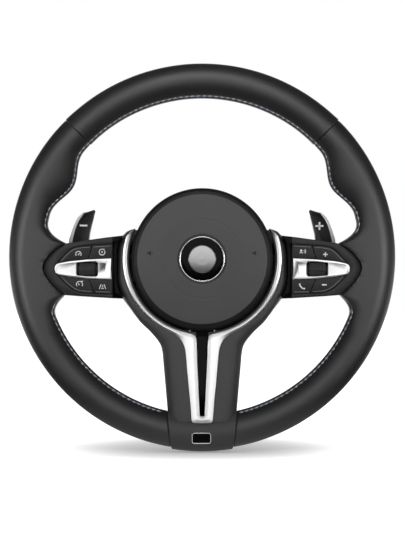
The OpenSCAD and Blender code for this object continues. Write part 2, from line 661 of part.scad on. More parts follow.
// Wiring from the plug to a pod: places chosen along the way, swept with eight sides
wire_d = 3;
wire_x = -pod_x(58.9);
wire_z = -27.8;
wire_route = curve([[plug_w / 2 + 1.6, -3.6, plug_z], [24, -3.6, -32], [38, -3.8, -32.5], [52, -7, -30],
    [64, -10.5, -28], [cushion_r + 6, -15, -27.6], [wire_x - 9.5, -arm_face + 14.5, -27.6],
    [wire_x - 1.5, -arm_face + 5.5, wire_z], [wire_x, -arm_face + 2.5, wire_z],
    [wire_x, -arm_face + fit, wire_z]], 3);
module wiring() {
    n = len(wire_route);
    rows = [for (i = [0:n - 1])
        let (way = wire_route[min(i + 1, n - 1)] - wire_route[max(i - 1, 0)],
            side = cross(way, [0, 0, 1]) / norm(cross(way, [0, 0, 1])),
            up = cross(side, way) / norm(cross(side, way)))
        [for (k = [0:7]) wire_route[i] + wire_d / 2 * (side * cos(45 * k) + up * sin(45 * k))]];
    color("#1d1d1f") body_of(rows);
}
module wiring_right() {
    wiring();
}
module wiring_left() {
    mirror([1, 0, 0]) wiring();
}

// Switch pods, drawn on the left. Places along a pod count from the grip's inside.
function pod_x(d) = -grip_in_r + d;
pod_nose = [for (e = concat([root_low], steps(root_low, root_high, root_steps)))
    let (r = pod_nose_r(e) - fit) [-r * cos(e), r * sin(e)]];
module cover_2d(margin) {
    offset(delta = margin) polygon(concat(cover_side, mirrored(cover_side)));
}
module pod_2d() {
    difference() {
        polygon(concat(pod_nose, [[pod_x(41.4), 15.6], [-cushion_r - 22, 18.4], [-cushion_r - 6, 20.2],
            [-cushion_r - 6, -40.3], [-cushion_r - 17, -39.9], [pod_x(36.4), -38.1]]));
        cover_2d(gap);
    }
}
cluster_end = 66;
function field(points) = [for (p = points) [pod_x(p[0]), p[1]]];
module cluster_2d() {
    polygon(concat(field([[cluster_end, 12]]),
        curve(field([[36.4, 10.2], [26.4, 7.4], [16.4, -2.2], [12, -7.4], [10.3, -11.8], [12.4, -16.6],
            [23.4, -28.2], [32.4, -33.8], [41.4, -35.2]]), 4),
        field([[cluster_end, -36]])));
}
module blade_2d() {
    polygon(concat(field([[64.6, -2], [41.4, -3.1]]),
        curve(field([[26, -4.6], [15, -6.6], [11.7, -8.6], [10.9, -11.9], [11.7, -15.2], [15, -17.2],
            [26, -19.3]]), 4),
        field([[41.4, -20.9], [65, -21.6], [64.2, -12]])));
}
roller_z = -12;
roller_mid = 41.7;
roller_y = -pod_reach - 2.8 + roller_d / 2;
button_face = pod_reach + 0.6;
blade_face = pod_reach + 1.4;
blade_t = 2.2;
module region(upper, outer) {
    s = upper ? 1 : -1;
    cut = upper ? [[47.4, 14], [44.6, 3], [41.2, -5], [41.2, roller_z]]
        : [[49.8, -38], [46, -28], [42.4, -20], [42.4, roller_z]];
    polygon(concat(field(cut), outer
        ? [[pod_x(-10), roller_z], [pod_x(-10), roller_z + s * 40]]
        : [[pod_x(90), roller_z], [pod_x(90), roller_z + s * 40]]));
}
module button_2d(upper, outer) {
    offset(r = 0.8, $fn = 24) offset(delta = -0.8 - button_gap / 2) difference() {
        intersection() {
            cluster_2d();
            region(upper, outer);
        }
        offset(delta = button_gap / 2) blade_2d();
    }
}
button_stems = [[28, 1.5], [55, 4.5], [31, -26.5], [56, -28.5]];
stem_end = pod_reach - 11.2;
module button(upper, outer) {
    stem = button_stems[(upper ? 0 : 2) + (outer ? 0 : 1)];
    color("#252527") {
        along_y(-button_face, -pod_reach + 5) button_2d(upper, outer);
        along_y(-pod_reach + 4.5, -stem_end) translate([pod_x(stem[0]), stem[1]]) circle(d = 3);
    }
}
module pod_bezel() {
    color("#2a2a2c") difference() {
        union() {
            along_y(-pod_reach, -pod_reach + 1.2) offset(delta = -0.9) pod_2d();
            along_y(-pod_reach + 1.2, -pod_reach + 8.5) pod_2d();
        }
        along_y(-90, -30) offset(delta = button_gap / 2 - 0.05) cluster_2d();
    }
}
// Posts that carry the blade, on both sides of the roller
blade_posts = [20, roller_mid + 19.3];
yoke_gap = 0.6;
yoke_t = 1.8;
ear_reach = 2.2;
module yoke_arms(reach) {
    for (side = [-1, 1])
        translate([pod_x(roller_mid) + side * (roller_len / 2 + yoke_gap + yoke_t / 2), 0, roller_z])
            translate([-yoke_t / 2, -reach, -3.5]) cube([yoke_t, reach - arm_face - 1, 7]);
}
module switch_housing(with_yoke) {
    floor_y = -arm_face - pod_wall;
    color("#1f1f21") difference() {
        union() {
            difference() {
                along_y(-pod_reach + 8.5, -arm_face) offset(delta = -0.9) pod_2d();
                along_y(-90, floor_y) offset(delta = -0.9 - pod_wall) pod_2d();
            }
            for (d = blade_posts)
                along_y(-blade_face + blade_t, floor_y + 0.5) translate([pod_x(d), roller_z]) circle(d = 4);
            if (with_yoke) yoke_arms(-roller_y + ear_reach);
        }
        if (with_yoke) translate([pod_x(0), roller_y, roller_z]) rotate([0, 90, 0])
            cylinder(h = 100, d = stub_d + 2 * shaft_gap);
    }
}
board_face = stem_end - button_travel - 1.9;
module board_cuts(margin) {
    for (d = blade_posts) translate([pod_x(d), roller_z]) circle(d = 4 + 2 * margin);
    translate([pod_x(roller_mid) - 12, roller_z - 8]) square([24, 16]);
}
module switch_board() {
    color("#1f5b36") along_y(-board_face, -board_face + 1.6) difference() {
        offset(delta = -0.9 - pod_wall - fit) pod_2d();
        board_cuts(fit);
    }
}
module contact_mat() {
    color("#8a8d90") along_y(-board_face - 1.2, -board_face) difference() {
        offset(delta = -0.9 - pod_wall - 0.6) cluster_2d();
        board_cuts(fit);
    }
}
window_w = 19.4;
window_h = 13;
module blade() {
    color("#d8d9db") {
        difference() {
            union() {
                along_y(-blade_face, -blade_face + blade_t) blade_2d();
                // raised rims along the two long edges
                along_y(-blade_face - 0.8, -blade_face) difference() {
                    offset(delta = -0.3) blade_2d();
                    offset(delta = -1.7) blade_2d();
                    translate([pod_x(50), -40]) square([60, 60]);
                    translate([pod_x(0), -40]) square([14, 60]);
                }
            }
            along_y(-90, -30) translate([pod_x(roller_mid), roller_z])
                offset(r = 2, $fn = 24) square([window_w - 4, window_h - 4], center = true);
            // scoop beside the window
            translate([pod_x(roller_mid) + window_w / 2 - 1, -blade_face - 0.2, roller_z])
                rotate([0, 0, 12]) translate([0, -4, -5.6]) cube([9, 4, 11.2]);
        }
    }
}
rib_count = 30;
module roller(stub) {
    translate([pod_x(roller_mid), roller_y, roller_z]) rotate([0, 90, 0]) {
        color("#1c1c1e") linear_extrude(roller_len, center = true) polygon([
            for (i = [0:4 * rib_count - 1])
                let (r = roller_d / 2 - (i % 4 < 2 ? 0 : 0.5), a = 360 * i / (4 * rib_count))
                [r * cos(a), r * sin(a)]]);
        cylinder(h = roller_len + 2 * stub, d = stub_d, center = true);
    }
}
cradle_wall = 1.5;
module roller_cradle() {
    // The cradle's two ears hold the right roller, and its foot slides in the housing
    foot_y = roller_y + roller_d / 2 + 0.8;
    color("#1f1f21") mirror([1, 0, 0]) difference() {
        union() {
            for (side = [-1, 1])
                translate([pod_x(roller_mid) + side * (roller_len / 2 + yoke_gap + cradle_wall / 2), 0, 0])
                    translate([-cradle_wall / 2, roller_y - ear_reach, roller_z - 3.5])
                        cube([cradle_wall, foot_y + 1.6 - roller_y + ear_reach, 7]);
            translate([pod_x(roller_mid) - roller_len / 2 - yoke_gap - cradle_wall, foot_y, roller_z - 3.5])
                cube([roller_len + 2 * (yoke_gap + cradle_wall), 1.6, 7]);
        }
        translate([pod_x(0), roller_y, roller_z]) rotate([0, 90, 0])
            cylinder(h = 100, d = stub_d + 2 * shaft_gap);
    }
}

// Paddles, drawn on the left
ear_t = 3;
module paddle_bracket() {
    color("#8f9396") difference() {
        union() {
            translate([hinge_x - 12, arm_back, hinge_low]) cube([15.7, 2.2, hinge_high - hinge_low]);
            for (z = [hinge_low, hinge_high - ear_t]) {
                translate([hinge_x - 3.4, arm_back, z]) cube([6.8, hinge_y - arm_back, ear_t]);
                translate([hinge_x, hinge_y, z]) cylinder(h = ear_t, r = 3.4);
            }
        }
        translate([hinge_x, hinge_y, -50]) cylinder(h = 100, d = hinge_pin_d + 0.02);
    }
}
module paddle_pins() {
    color("#b9bbbe") for (side = [0, 1]) mirror([side, 0, 0])
        translate([hinge_x, hinge_y, hinge_low]) cylinder(h = hinge_high - hinge_low, d = hinge_pin_d);
}
plate_y = hinge_y + 0.6;
paddle_low = -19;
paddle_outer = curve(field([[36.9, paddle_rise - 3.2], [31.8, 35], [28.8, 28], [26.6, 20], [25.4, 12],
    [26.9, -8], [32.4, paddle_low]]), 4);
module paddle_2d() {
    polygon(concat(field([[48, paddle_rise - 1.6], [46.8, paddle_rise]]), paddle_outer,
        field([[51.4, paddle_low], [52.4, -4], [44.4, 4], [41.2, 14], [42, 22], [44.2, 31],
            [46.4, 38.5]])));
}
plate_outer = curve(field([[36.2, paddle_rise - 2.6], [30.8, 38], [27.2, 31], [24.4, 23], [22, 13],
    [23.4, -8], [30.4, paddle_low]]), 4);
module plate_2d() {
    polygon(concat(field([[46.4, paddle_rise - 1.4]]), plate_outer,
        field([[52.4, paddle_low], [52.4, 2], [43, 6], [41.8, 14], [42.8, 22], [44.8, 31], [46.6, 38.5]])));
}
module paddle() {
    color("#232325") along_y(plate_y - edge_plate_t / 2 - paddle_t, plate_y - edge_plate_t / 2) paddle_2d();
}
barrel_low = hinge_low + ear_t + 5.2;
barrel_high = hinge_high - ear_t - gap;
module paddle_plate() {
    color("#c9cbce") difference() {
        union() {
            along_y(plate_y - edge_plate_t / 2, plate_y + edge_plate_t / 2) {
                plate_2d();
                translate([hinge_x - 7, barrel_low]) square([7, barrel_high - barrel_low]);
            }
            translate([hinge_x, hinge_y, barrel_low]) cylinder(h = barrel_high - barrel_low, r = 3);
        }
        translate([hinge_x, hinge_y, -50]) cylinder(h = 100, d = hinge_pin_d + 2 * shaft_gap);
    }
}
// Return spring of a paddle: a coil round the pin with a leg on the bracket and one on the plate
coil_wire = 0.8;
coil_turns = 3.5;
module paddle_springs() {
    coil_r = hinge_pin_d / 2 + 0.4 + coil_wire / 2;
    low = hinge_low + ear_t + 0.6;
    high = barrel_low - 0.6;
    coil = [for (k = [0:10 * coil_turns])
        let (a = 36 * k) [coil_r * cos(a), coil_r * sin(a), mix(low, high, k / (10 * coil_turns))]];
    path = concat([[coil_r, 2.3 - hinge_stand, low]], coil,
        [[-coil_r - 0.01, -2.1, high], [-6.2, -2.1, high]]);
    n = len(path);
    color("#b9bbbe") for (side = [0, 1]) mirror([side, 0, 0]) translate([hinge_x, hinge_y, 0])
        body_of([for (i = [0:n - 1])
            let (way = path[min(i + 1, n - 1)] - path[max(i - 1, 0)],
                across = cross(way, [0, 0, 1]) / norm(cross(way, [0, 0, 1])),
                up = cross(across, way) / norm(cross(across, way)))
            [for (k = [0:4]) path[i] + coil_wire / 2 * (across * cos(72 * k) + up * sin(72 * k))]]);
}
module paddle_switches() {
    color("#1d1d1f") for (side = [0, 1]) mirror([side, 0, 0]) {
        translate([hinge_x - 11, arm_back + 2.2, -15]) cube([6, 1.2, 9]);
        translate([hinge_x - 8, arm_back + 3.2, -10.5]) rotate([-90, 0, 0]) cylinder(h = 0.7, d = 2);
    }
}

// Horn cushion and what it holds
face_r = cushion_r - roll_w;
function dome_y(r) = -cushion_reach - crown * (1 - pow(r / face_r, 2));
emblem_seat = -cushion_reach - crown + 2.2;
emblem_r = emblem_d / 2;
cushion_foot = tray_front - horn_travel - 1.5;
module airbag_cover() {
    seat_r = emblem_r + 1.2;
    outside = concat([[0, emblem_seat], [seat_r, emblem_seat], [seat_r + 0.3, dome_y(seat_r) + 0.3]],
        [for (r = steps(seat_r, face_r, 8)) [r, dome_y(r)]],
        [[cushion_r - 2.4, -cushion_reach + 1.2], [cushion_r - 0.6, -cushion_reach + 3.5],
        [cushion_r, -cushion_reach + 6.5], [cushion_r - 0.5, cushion_foot]]);
    inside = concat([[cushion_r - 0.5 - cushion_wall, cushion_foot],
        [cushion_r - 0.5 - cushion_wall, -cushion_reach + 6.5],
        [face_r - 2, -cushion_reach + cushion_wall]],
        [for (r = steps(face_r - 2, 0, 6)) [r, dome_y(r) + cushion_wall + 0.2]]);
    color("#454547") on_cushion_axis() turned(concat(outside, inside));
}
module emblem_base() {
    color("#0c0c0d") on_cushion_axis()
        turned([[0, emblem_seat], [emblem_r, emblem_seat], [emblem_r, emblem_seat - 0.8],
            [emblem_r - 1.6, emblem_seat - 1.1], [13.4, emblem_seat - 1.9], [0, emblem_seat - 1.9]]);
}
module emblem_ring() {
    color("#d8d9db") on_cushion_axis()
        turned([[emblem_r - 1.6, emblem_seat - 1.1], [emblem_r, emblem_seat - 0.8],
            [emblem_r - 0.2, emblem_seat - 1.8], [emblem_r - 0.8, emblem_seat - 2.2],
            [emblem_r - 1.5, emblem_seat - 1.9]]);
}
module emblem_disc() {
    color("#c9cbce") on_cushion_axis()
        turned([[0, emblem_seat - 1.9], [13.2, emblem_seat - 1.9], [12.6, emblem_seat - 2.5],
            [0, emblem_seat - 3.1]]);
}
generator_front = -46;
generator_back = -18;
plate_front = -27;
flange_r = generator_d / 2 + 8;
module airbag_pack() {
    color("#c9c5ba") on_cushion_axis() difference() {
        turned([[0, -cushion_reach + 1], [face_r - 6, -cushion_reach + 5],
            [face_r - 1.5, -cushion_reach + 8], [face_r - 1.5, plate_front], [0, plate_front]]);
        along_y(generator_front - 0.4, 0) circle(r = generator_d / 2 + 0.4);
        along_y(plate_front - 2, 0) circle(r = flange_r + 0.4);
    }
}
nut_r = generator_d / 2 + 4.5;
nut_angles = [45, 135, 225, 315];
module gas_generator() {
    color("#a9acaf") on_cushion_axis() {
        turned([[0, generator_front], [generator_d / 2 - 5, generator_front],
            [generator_d / 2, generator_front + 5], [generator_d / 2, generator_back - 3],
            [generator_d / 2 - 3, generator_back], [0, generator_back]]);
        along_y(plate_front - 1.6, plate_front) circle(r = flange_r);
        at_polar(nut_angles, nut_r) along_y(plate_front - 1, plate_front + 6.5) circle(d = 5);
    }
}
module module_plate() {
    color("#9a9da0") difference() {
        on_cushion_axis() along_y(plate_front, plate_front + 2) circle(r = cushion_r - 0.5 - cushion_wall);
        on_cushion_axis() {
            along_y(-40, 0) circle(r = generator_d / 2 + fit);
            at_polar(nut_angles, nut_r) along_y(-40, 0) circle(d = 5 + 2 * fit);
        }
    }
}
module module_pins() {
    color("#b9bbbe") at_polar(pin_angles, pin_circle_r) {
        along_y(plate_front + 2, -plate_back + 3) circle(d = guide_pin_d);
        along_y(-plate_back + fit / 2, -plate_back + 3) circle(d = guide_pin_d + 3.4);
    }
}
module generator_nuts() {
    color("#77797c") on_cushion_axis() at_polar(nut_angles, nut_r) difference() {
        along_y(plate_front + 2, plate_front + 5.5) circle(d = 9, $fn = 6);
        along_y(-40, 0) circle(d = 5 + 2 * fit);
    }
}
spring_turns = 4;
spring_wire = 1.1;
module horn_springs() {
    mid_r = guide_pin_d / 2 + 1.5;
    low = plate_front + 2 + spring_wire / 2;
    high = -plate_face - spring_wire / 2;
    rows = [for (k = [0:12 * spring_turns])
        let (a = 30 * k, y = mix(low, high, k / (12 * spring_turns)))
        [for (s = [4:-1:0])
            let (r = mid_r + spring_wire / 2 * cos(72 * s))
            [r * cos(a), y + spring_wire / 2 * sin(72 * s), r * sin(a)]]];
    color("#b9bbbe") at_polar(pin_angles, pin_circle_r) body_of(rows);
}
module horn_contacts() {
    color("#1d1d1f") difference() {
        along_y(-plate_face - 1.4, -plate_face) circle(r = 36);
        along_y(-20, 0) circle(r = 28);
    }
}

module pod_bezel_left() { pod_bezel(); }
module pod_bezel_right() { mirror([1, 0, 0]) pod_bezel(); }
module switch_housing_left() { switch_housing(true); }
module switch_housing_right() { mirror([1, 0, 0]) switch_housing(false); }
module switch_board_left() { switch_board(); }
module switch_board_right() { mirror([1, 0, 0]) switch_board(); }
module contact_mat_left() { contact_mat(); }
module contact_mat_right() { mirror([1, 0, 0]) contact_mat(); }
module blade_left() { blade(); }
module blade_right() { mirror([1, 0, 0]) blade(); }
module paddle_bracket_left() { paddle_bracket(); }
module paddle_bracket_right() { mirror([1, 0, 0]) paddle_bracket(); }
module paddle_left() { paddle(); }
module paddle_right() { mirror([1, 0, 0]) paddle(); }
module paddle_plate_left() { paddle_plate(); }
module paddle_plate_right() { mirror([1, 0, 0]) paddle_plate(); }
module roller_left() { roller(yoke_gap + yoke_t); }
module roller_right() { mirror([1, 0, 0]) roller(yoke_gap + cradle_wall); }
module button_left_upper_outer() { button(true, true); }
module button_left_upper_inner() { button(true, false); }
module button_left_lower_outer() { button(false, true); }
module button_left_lower_inner() { button(false, false); }
module button_right_upper_outer() { mirror([1, 0, 0]) button(true, true); }
module button_right_upper_inner() { mirror([1, 0, 0]) button(true, false); }
module button_right_lower_outer() { mirror([1, 0, 0]) button(false, true); }
module button_right_lower_inner() { mirror([1, 0, 0]) button(false, false); }

armature();
rim_foam();
rim_leather_top();
rim_leather_left();
rim_leather_right();
spoke_cover();
trim();
slot_insert();
badge_frame();
badge_plate();
rear_cover();
lower_back_cover();
pod_bezel_left();
pod_bezel_right();
switch_housing_left();
switch_housing_right();
switch_board_left();
switch_board_right();
contact_mat_left();
contact_mat_right();
blade_left();
blade_right();
paddle_bracket_left();
paddle_bracket_right();
paddle_pins();
paddle_springs();
paddle_switches();
horn_contacts();
connector_block();
cover_screws();
wiring_left();
wiring_right();
horn_springs();
airbag_cover();
emblem_base();
emblem_ring();
emblem_disc();
airbag_pack();
gas_generator();
module_plate();
module_pins();
generator_nuts();
button_left_upper_outer();
button_left_upper_inner();
button_left_lower_outer();
button_left_lower_inner();
button_right_upper_outer();
button_right_upper_inner();
button_right_lower_outer();
button_right_lower_inner();
roller_left();
roller_right();
roller_cradle();
paddle_left();
paddle_right();
paddle_plate_left();
paddle_plate_right();
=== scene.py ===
import json
import math
import bmesh
import bpy
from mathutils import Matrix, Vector


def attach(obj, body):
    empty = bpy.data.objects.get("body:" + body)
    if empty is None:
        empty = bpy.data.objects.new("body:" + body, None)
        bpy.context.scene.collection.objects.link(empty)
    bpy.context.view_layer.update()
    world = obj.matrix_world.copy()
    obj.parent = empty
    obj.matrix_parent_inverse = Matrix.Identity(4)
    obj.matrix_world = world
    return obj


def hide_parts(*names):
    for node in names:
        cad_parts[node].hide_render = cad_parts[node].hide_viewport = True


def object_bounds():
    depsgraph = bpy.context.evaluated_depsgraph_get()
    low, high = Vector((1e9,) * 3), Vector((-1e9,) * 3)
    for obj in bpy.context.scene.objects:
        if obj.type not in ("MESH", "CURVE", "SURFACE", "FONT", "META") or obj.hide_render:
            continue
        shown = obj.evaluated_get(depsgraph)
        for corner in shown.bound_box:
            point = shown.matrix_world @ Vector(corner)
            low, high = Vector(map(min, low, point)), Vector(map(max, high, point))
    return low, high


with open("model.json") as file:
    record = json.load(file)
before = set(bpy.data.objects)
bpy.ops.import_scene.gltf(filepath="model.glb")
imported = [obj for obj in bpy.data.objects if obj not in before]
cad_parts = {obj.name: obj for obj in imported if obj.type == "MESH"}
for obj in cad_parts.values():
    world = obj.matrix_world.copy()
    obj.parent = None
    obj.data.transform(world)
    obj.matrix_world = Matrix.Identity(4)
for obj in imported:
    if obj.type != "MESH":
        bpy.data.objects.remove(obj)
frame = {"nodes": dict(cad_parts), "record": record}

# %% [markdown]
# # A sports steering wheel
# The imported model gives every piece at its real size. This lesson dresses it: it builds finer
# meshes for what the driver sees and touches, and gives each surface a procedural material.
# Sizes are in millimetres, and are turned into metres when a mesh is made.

MM = 0.001
cad_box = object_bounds()
record = frame["record"]
nodes = frame["nodes"]
body_of_node = {n: b for b, ns in record["behaviour"]["bodies"].items() for n in ns}
slot_of_node = {s["node"]: s["material_slot"] for s in record["subparts"]}

# %% [markdown]
# ## Camera
# The photograph looks straight along the steering axis. One millimetre at the rim takes about
# 1.04 pixels of a picture 540 pixels high, so a long lens two metres away gives the same framing
# with little perspective. The wheel's centre is a little above the picture's middle.

# %% Camera
PICTURE_H = 540
PIXELS_PER_MM = 1.043
CAMERA_DISTANCE = 2000
RIM_REACH = 48
VIEW_CENTRE_X = 0.3
VIEW_CENTRE_Z = -12.9
SENSOR = 36

camera_data = bpy.data.cameras.new("camera")
camera_data.sensor_width = SENSOR
camera_data.lens = SENSOR * CAMERA_DISTANCE / (PICTURE_H / PIXELS_PER_MM)
camera = bpy.data.objects.new("camera", camera_data)
camera.location = Vector((VIEW_CENTRE_X, -RIM_REACH - CAMERA_DISTANCE, VIEW_CENTRE_Z)) * MM
camera.rotation_euler = (math.radians(90), 0, 0)
bpy.context.scene.collection.objects.link(camera)
bpy.context.scene.camera = camera
print("lens", round(camera_data.lens, 1))

# %% [markdown]
# ## Stage and light
# The wheel stands in a studio with a white backdrop behind it and a dim room in front. A large
# soft lamp behind the camera brightens the metal. Three narrow ones stand close to the wheel, on
# the left, on the right and above, each aimed at the rim beside it, so that the highlight runs
# round the outer half of the rim and the inner half falls dark. The camera sees the backdrop
# and the floor as plain white. Gloss and metal see the white too, but only what lies behind the
# wheel and close under it, as in a room where only the backdrop is lit.

# %% Floor
FLOOR_DROP = 0.8
FLOOR_SIZE = 12.0
SHADE_START, SHADE_END = 0.190, 0.262
FLOOR_LIFT = 0.22
FLOOR_GREY = 0.9
FOOT_REACH = 0.30
FOOT_GLOW = 0.45
ROOM_LEVEL = 0.05


def ray_mask(tree, *kinds):
    """A value of 1 on rays of any of these kinds, and 0 on the others."""
    path = tree.nodes.new("ShaderNodeLightPath")
    mask = path.outputs[kinds[0]]
    for kind in kinds[1:]:
        mask = pair(tree, "MAXIMUM", mask, path.outputs[kind])
    return mask


def pair(tree, operation, first, second):
    node = tree.nodes.new("ShaderNodeMath")
    node.operation = operation
    tree.links.new(first, node.inputs[0])
    tree.links.new(second, node.inputs[1])
    return node.outputs[0]


def times(tree, first, second):
    return pair(tree, "MULTIPLY", first, second)


def larger(tree, first, second):
    return pair(tree, "MAXIMUM", first, second)


def ramp(tree, value, start, end, low, high):
    """A smooth change from low to high while a value goes from start to end."""
    node = tree.nodes.new("ShaderNodeMapRange")
    node.interpolation_type = "SMOOTHSTEP"
    for socket, number in zip(("From Min", "From Max", "To Min", "To Max"), (start, end, low, high)):
        node.inputs[socket].default_value = number
    tree.links.new(value, node.inputs["Value"])
    return node.outputs["Result"]


floor_mesh = bpy.data.meshes.new("floor")
floor_z = cad_box[0][2] - FLOOR_DROP * MM
half = FLOOR_SIZE / 2
floor_mesh.from_pydata([(-half, -half, floor_z), (half, -half, floor_z), (half, half, floor_z),
                        (-half, half, floor_z)], [], [(0, 1, 2, 3)])
floor = bpy.data.objects.new("floor", floor_mesh)
bpy.context.scene.collection.objects.link(floor)

floor_material = bpy.data.materials.new("studio_floor")
floor_material.use_nodes = True
tree = floor_material.node_tree
floor_shader = tree.nodes["Principled BSDF"]
floor_shader.inputs["Roughness"].default_value = 1.0
floor_shader.inputs["Specular IOR Level"].default_value = 0.0
floor_shader.inputs["Emission Color"].default_value = (1, 1, 1, 1)
place = tree.nodes.new("ShaderNodeTexCoord").outputs["Object"]
away = tree.nodes.new("ShaderNodeVectorMath")
away.operation = "LENGTH"
tree.links.new(place, away.inputs[0])
lifted = ramp(tree, away.outputs["Value"], SHADE_START, SHADE_END, FLOOR_LIFT, 1.0)
depth = tree.nodes.new("ShaderNodeSeparateXYZ")
tree.links.new(place, depth.inputs[0])
mirrored = ray_mask(tree, "Is Glossy Ray", "Is Transmission Ray")
behind = ramp(tree, depth.outputs["Y"], 0.0, 0.3, 0.0, 1.0)
foot = ramp(tree, away.outputs["Value"], SHADE_START, FOOT_REACH, FOOT_GLOW, 0.0)
glow = larger(tree, times(tree, mirrored, larger(tree, behind, foot)),
              times(tree, lifted, ray_mask(tree, "Is Camera Ray")))
tree.links.new(glow, floor_shader.inputs["Emission Strength"])
in_front = times(tree, mirrored, ramp(tree, depth.outputs["Y"], 0.0, 0.3, 1.0, 0.0))
shade = tree.nodes.new("ShaderNodeMix")
shade.data_type = "RGBA"
shade.inputs["A"].default_value = (*[FLOOR_GREY] * 3, 1)
shade.inputs["B"].default_value = (*[ROOM_LEVEL] * 3, 1)
tree.links.new(in_front, shade.inputs["Factor"])
tree.links.new(shade.outputs["Result"], floor_shader.inputs["Base Color"])
floor_mesh.materials.append(floor_material)

# %% World: white to the camera, and a white half behind the wheel for gloss and metal
AMBIENT = 0.40

world = bpy.data.worlds.new("studio")
bpy.context.scene.world = world
world.use_nodes = True
tree = world.node_tree
background = tree.nodes["Background"]
background.inputs["Color"].default_value = (1, 1, 1, 1)
direction = tree.nodes.new("ShaderNodeSeparateXYZ")
tree.links.new(tree.nodes.new("ShaderNodeTexCoord").outputs["Generated"], direction.inputs[0])
backdrop = ramp(tree, direction.outputs["Y"], 0.70, 0.95, ROOM_LEVEL, 1.0)
level = tree.nodes.new("ShaderNodeMix")
level.inputs["A"].default_value = AMBIENT
tree.links.new(ray_mask(tree, "Is Glossy Ray", "Is Transmission Ray"), level.inputs["Factor"])
tree.links.new(backdrop, level.inputs["B"])
shown = tree.nodes.new("ShaderNodeMix")
shown.inputs["B"].default_value = 1.0
tree.links.new(ray_mask(tree, "Is Camera Ray"), shown.inputs["Factor"])
tree.links.new(level.outputs["Result"], shown.inputs["A"])
tree.links.new(shown.outputs["Result"], background.inputs["Strength"])

# %% Lamps
RING_REACH, RING_FRONT, RING_SIZE, RING_SPREAD = 0.55, -0.45, 0.30, 38
RIM_AIM = 0.18
LAMPS = [("front_softbox", (0.0, -2.4, 0.25), (0, 0, 0), 2.6, 34, 180),
         ("left_softbox", (-RING_REACH, RING_FRONT, 0.0), (-RIM_AIM, 0, 0), RING_SIZE, 0.12, RING_SPREAD),
         ("right_softbox", (RING_REACH, RING_FRONT, 0.0), (RIM_AIM, 0, 0), RING_SIZE, 0.12, RING_SPREAD),
         ("upper_softbox", (0.0, RING_FRONT, RING_REACH), (0, 0, RIM_AIM), RING_SIZE, 0.08, RING_SPREAD)]
for lamp_name, spot, aim, size, watts, fan in LAMPS:
    lamp_data = bpy.data.lights.new(lamp_name, "AREA")
    lamp_data.shape = "SQUARE"
    lamp_data.size = size
    lamp_data.energy = watts
    lamp_data.spread = math.radians(fan)
    lamp = bpy.data.objects.new(lamp_name, lamp_data)
    lamp.location = spot
    lamp.rotation_euler = (Vector(aim) - Vector(spot)).to_track_quat("-Z", "Y").to_euler()
    bpy.context.scene.collection.objects.link(lamp)

bpy.context.scene.view_settings.view_transform = "Standard"
print("lamps", len(LAMPS))

# %% [markdown]
# ## Effects that several materials share
# Each effect is a node group that puts out a mask or a height. `grain` gives the small cells of
# leather and of leather-grained plastic. `patina` gives the slow changes of tone that handling
# leaves. `brushed` gives the fine lines of satin metal, and `spun` the rings of a turned disc.

# %% Helper for node groups


def effect_group(name, numbers, outputs):
    """A new shader group with number inputs, given with their defaults, and number outputs."""
    group = bpy.data.node_groups.new(name, "ShaderNodeTree")
    for label, default in numbers.items():
        socket = group.interface.new_socket(label, in_out="INPUT", socket_type="NodeSocketFloat")
        socket.default_value = default
    for label in outputs:
        group.interface.new_socket(label, in_out="OUTPUT", socket_type="NodeSocketFloat")
    inside = group.nodes.new("NodeGroupInput")
    outside = group.nodes.new("NodeGroupOutput")
    place = group.nodes.new("ShaderNodeTexCoord").outputs["Object"]
    return group, inside, outside, place


def math_node(group, operation, first, second=0.5):
    """A Math node; each of its two inputs is a number or the output of another node."""
    node = group.nodes.new("ShaderNodeMath")
    node.operation = operation
    for socket, value in zip(node.inputs, (first, second)):
        if isinstance(value, (int, float)):
            socket.default_value = value
        else:
            group.links.new(value, socket)
    return node.outputs[0]


def noise_node(group, vector, scale, detail=2.0, roughness=0.5):
    """A Noise Texture node at a scale that is a number or the output of another node."""
    node = group.nodes.new("ShaderNodeTexNoise")
    node.inputs["Detail"].default_value = detail
    node.inputs["Roughness"].default_value = roughness
    group.links.new(vector, node.inputs["Vector"])
    if isinstance(scale, (int, float)):
        node.inputs["Scale"].default_value = scale
    else:
        group.links.new(scale, node.inputs["Scale"])
    return node.outputs["Fac"]


# %% Grain: small rounded cells with darker valleys, broken up by a finer noise
grain, inside, outside, place = effect_group("grain", {"Cells per metre": 900.0}, ["Height"])
cells = grain.nodes.new("ShaderNodeTexVoronoi")
cells.feature = "SMOOTH_F1"
cells.inputs["Smoothness"].default_value = 0.6
grain.links.new(place, cells.inputs["Vector"])
grain.links.new(inside.outputs["Cells per metre"], cells.inputs["Scale"])
fine = noise_node(grain, place, math_node(grain, "MULTIPLY", inside.outputs["Cells per metre"], 3.2))
dome = math_node(grain, "SUBTRACT", 1.0, cells.outputs["Distance"])
height = math_node(grain, "ADD", dome, math_node(grain, "MULTIPLY", fine, 0.35))
grain.links.new(height, outside.inputs["Height"])

# %% Patina: broad patches, and small ones inside them
patina, inside, outside, place = effect_group("patina", {"Patch scale": 22.0}, ["Mask"])
broad = noise_node(patina, place, inside.outputs["Patch scale"], 3.0)
small = noise_node(patina, place, math_node(patina, "MULTIPLY", inside.outputs["Patch scale"], 9.0), 2.0)
both = math_node(patina, "ADD", math_node(patina, "MULTIPLY", broad, 0.7),
                 math_node(patina, "MULTIPLY", small, 0.3))
patina.links.new(both, outside.inputs["Mask"])

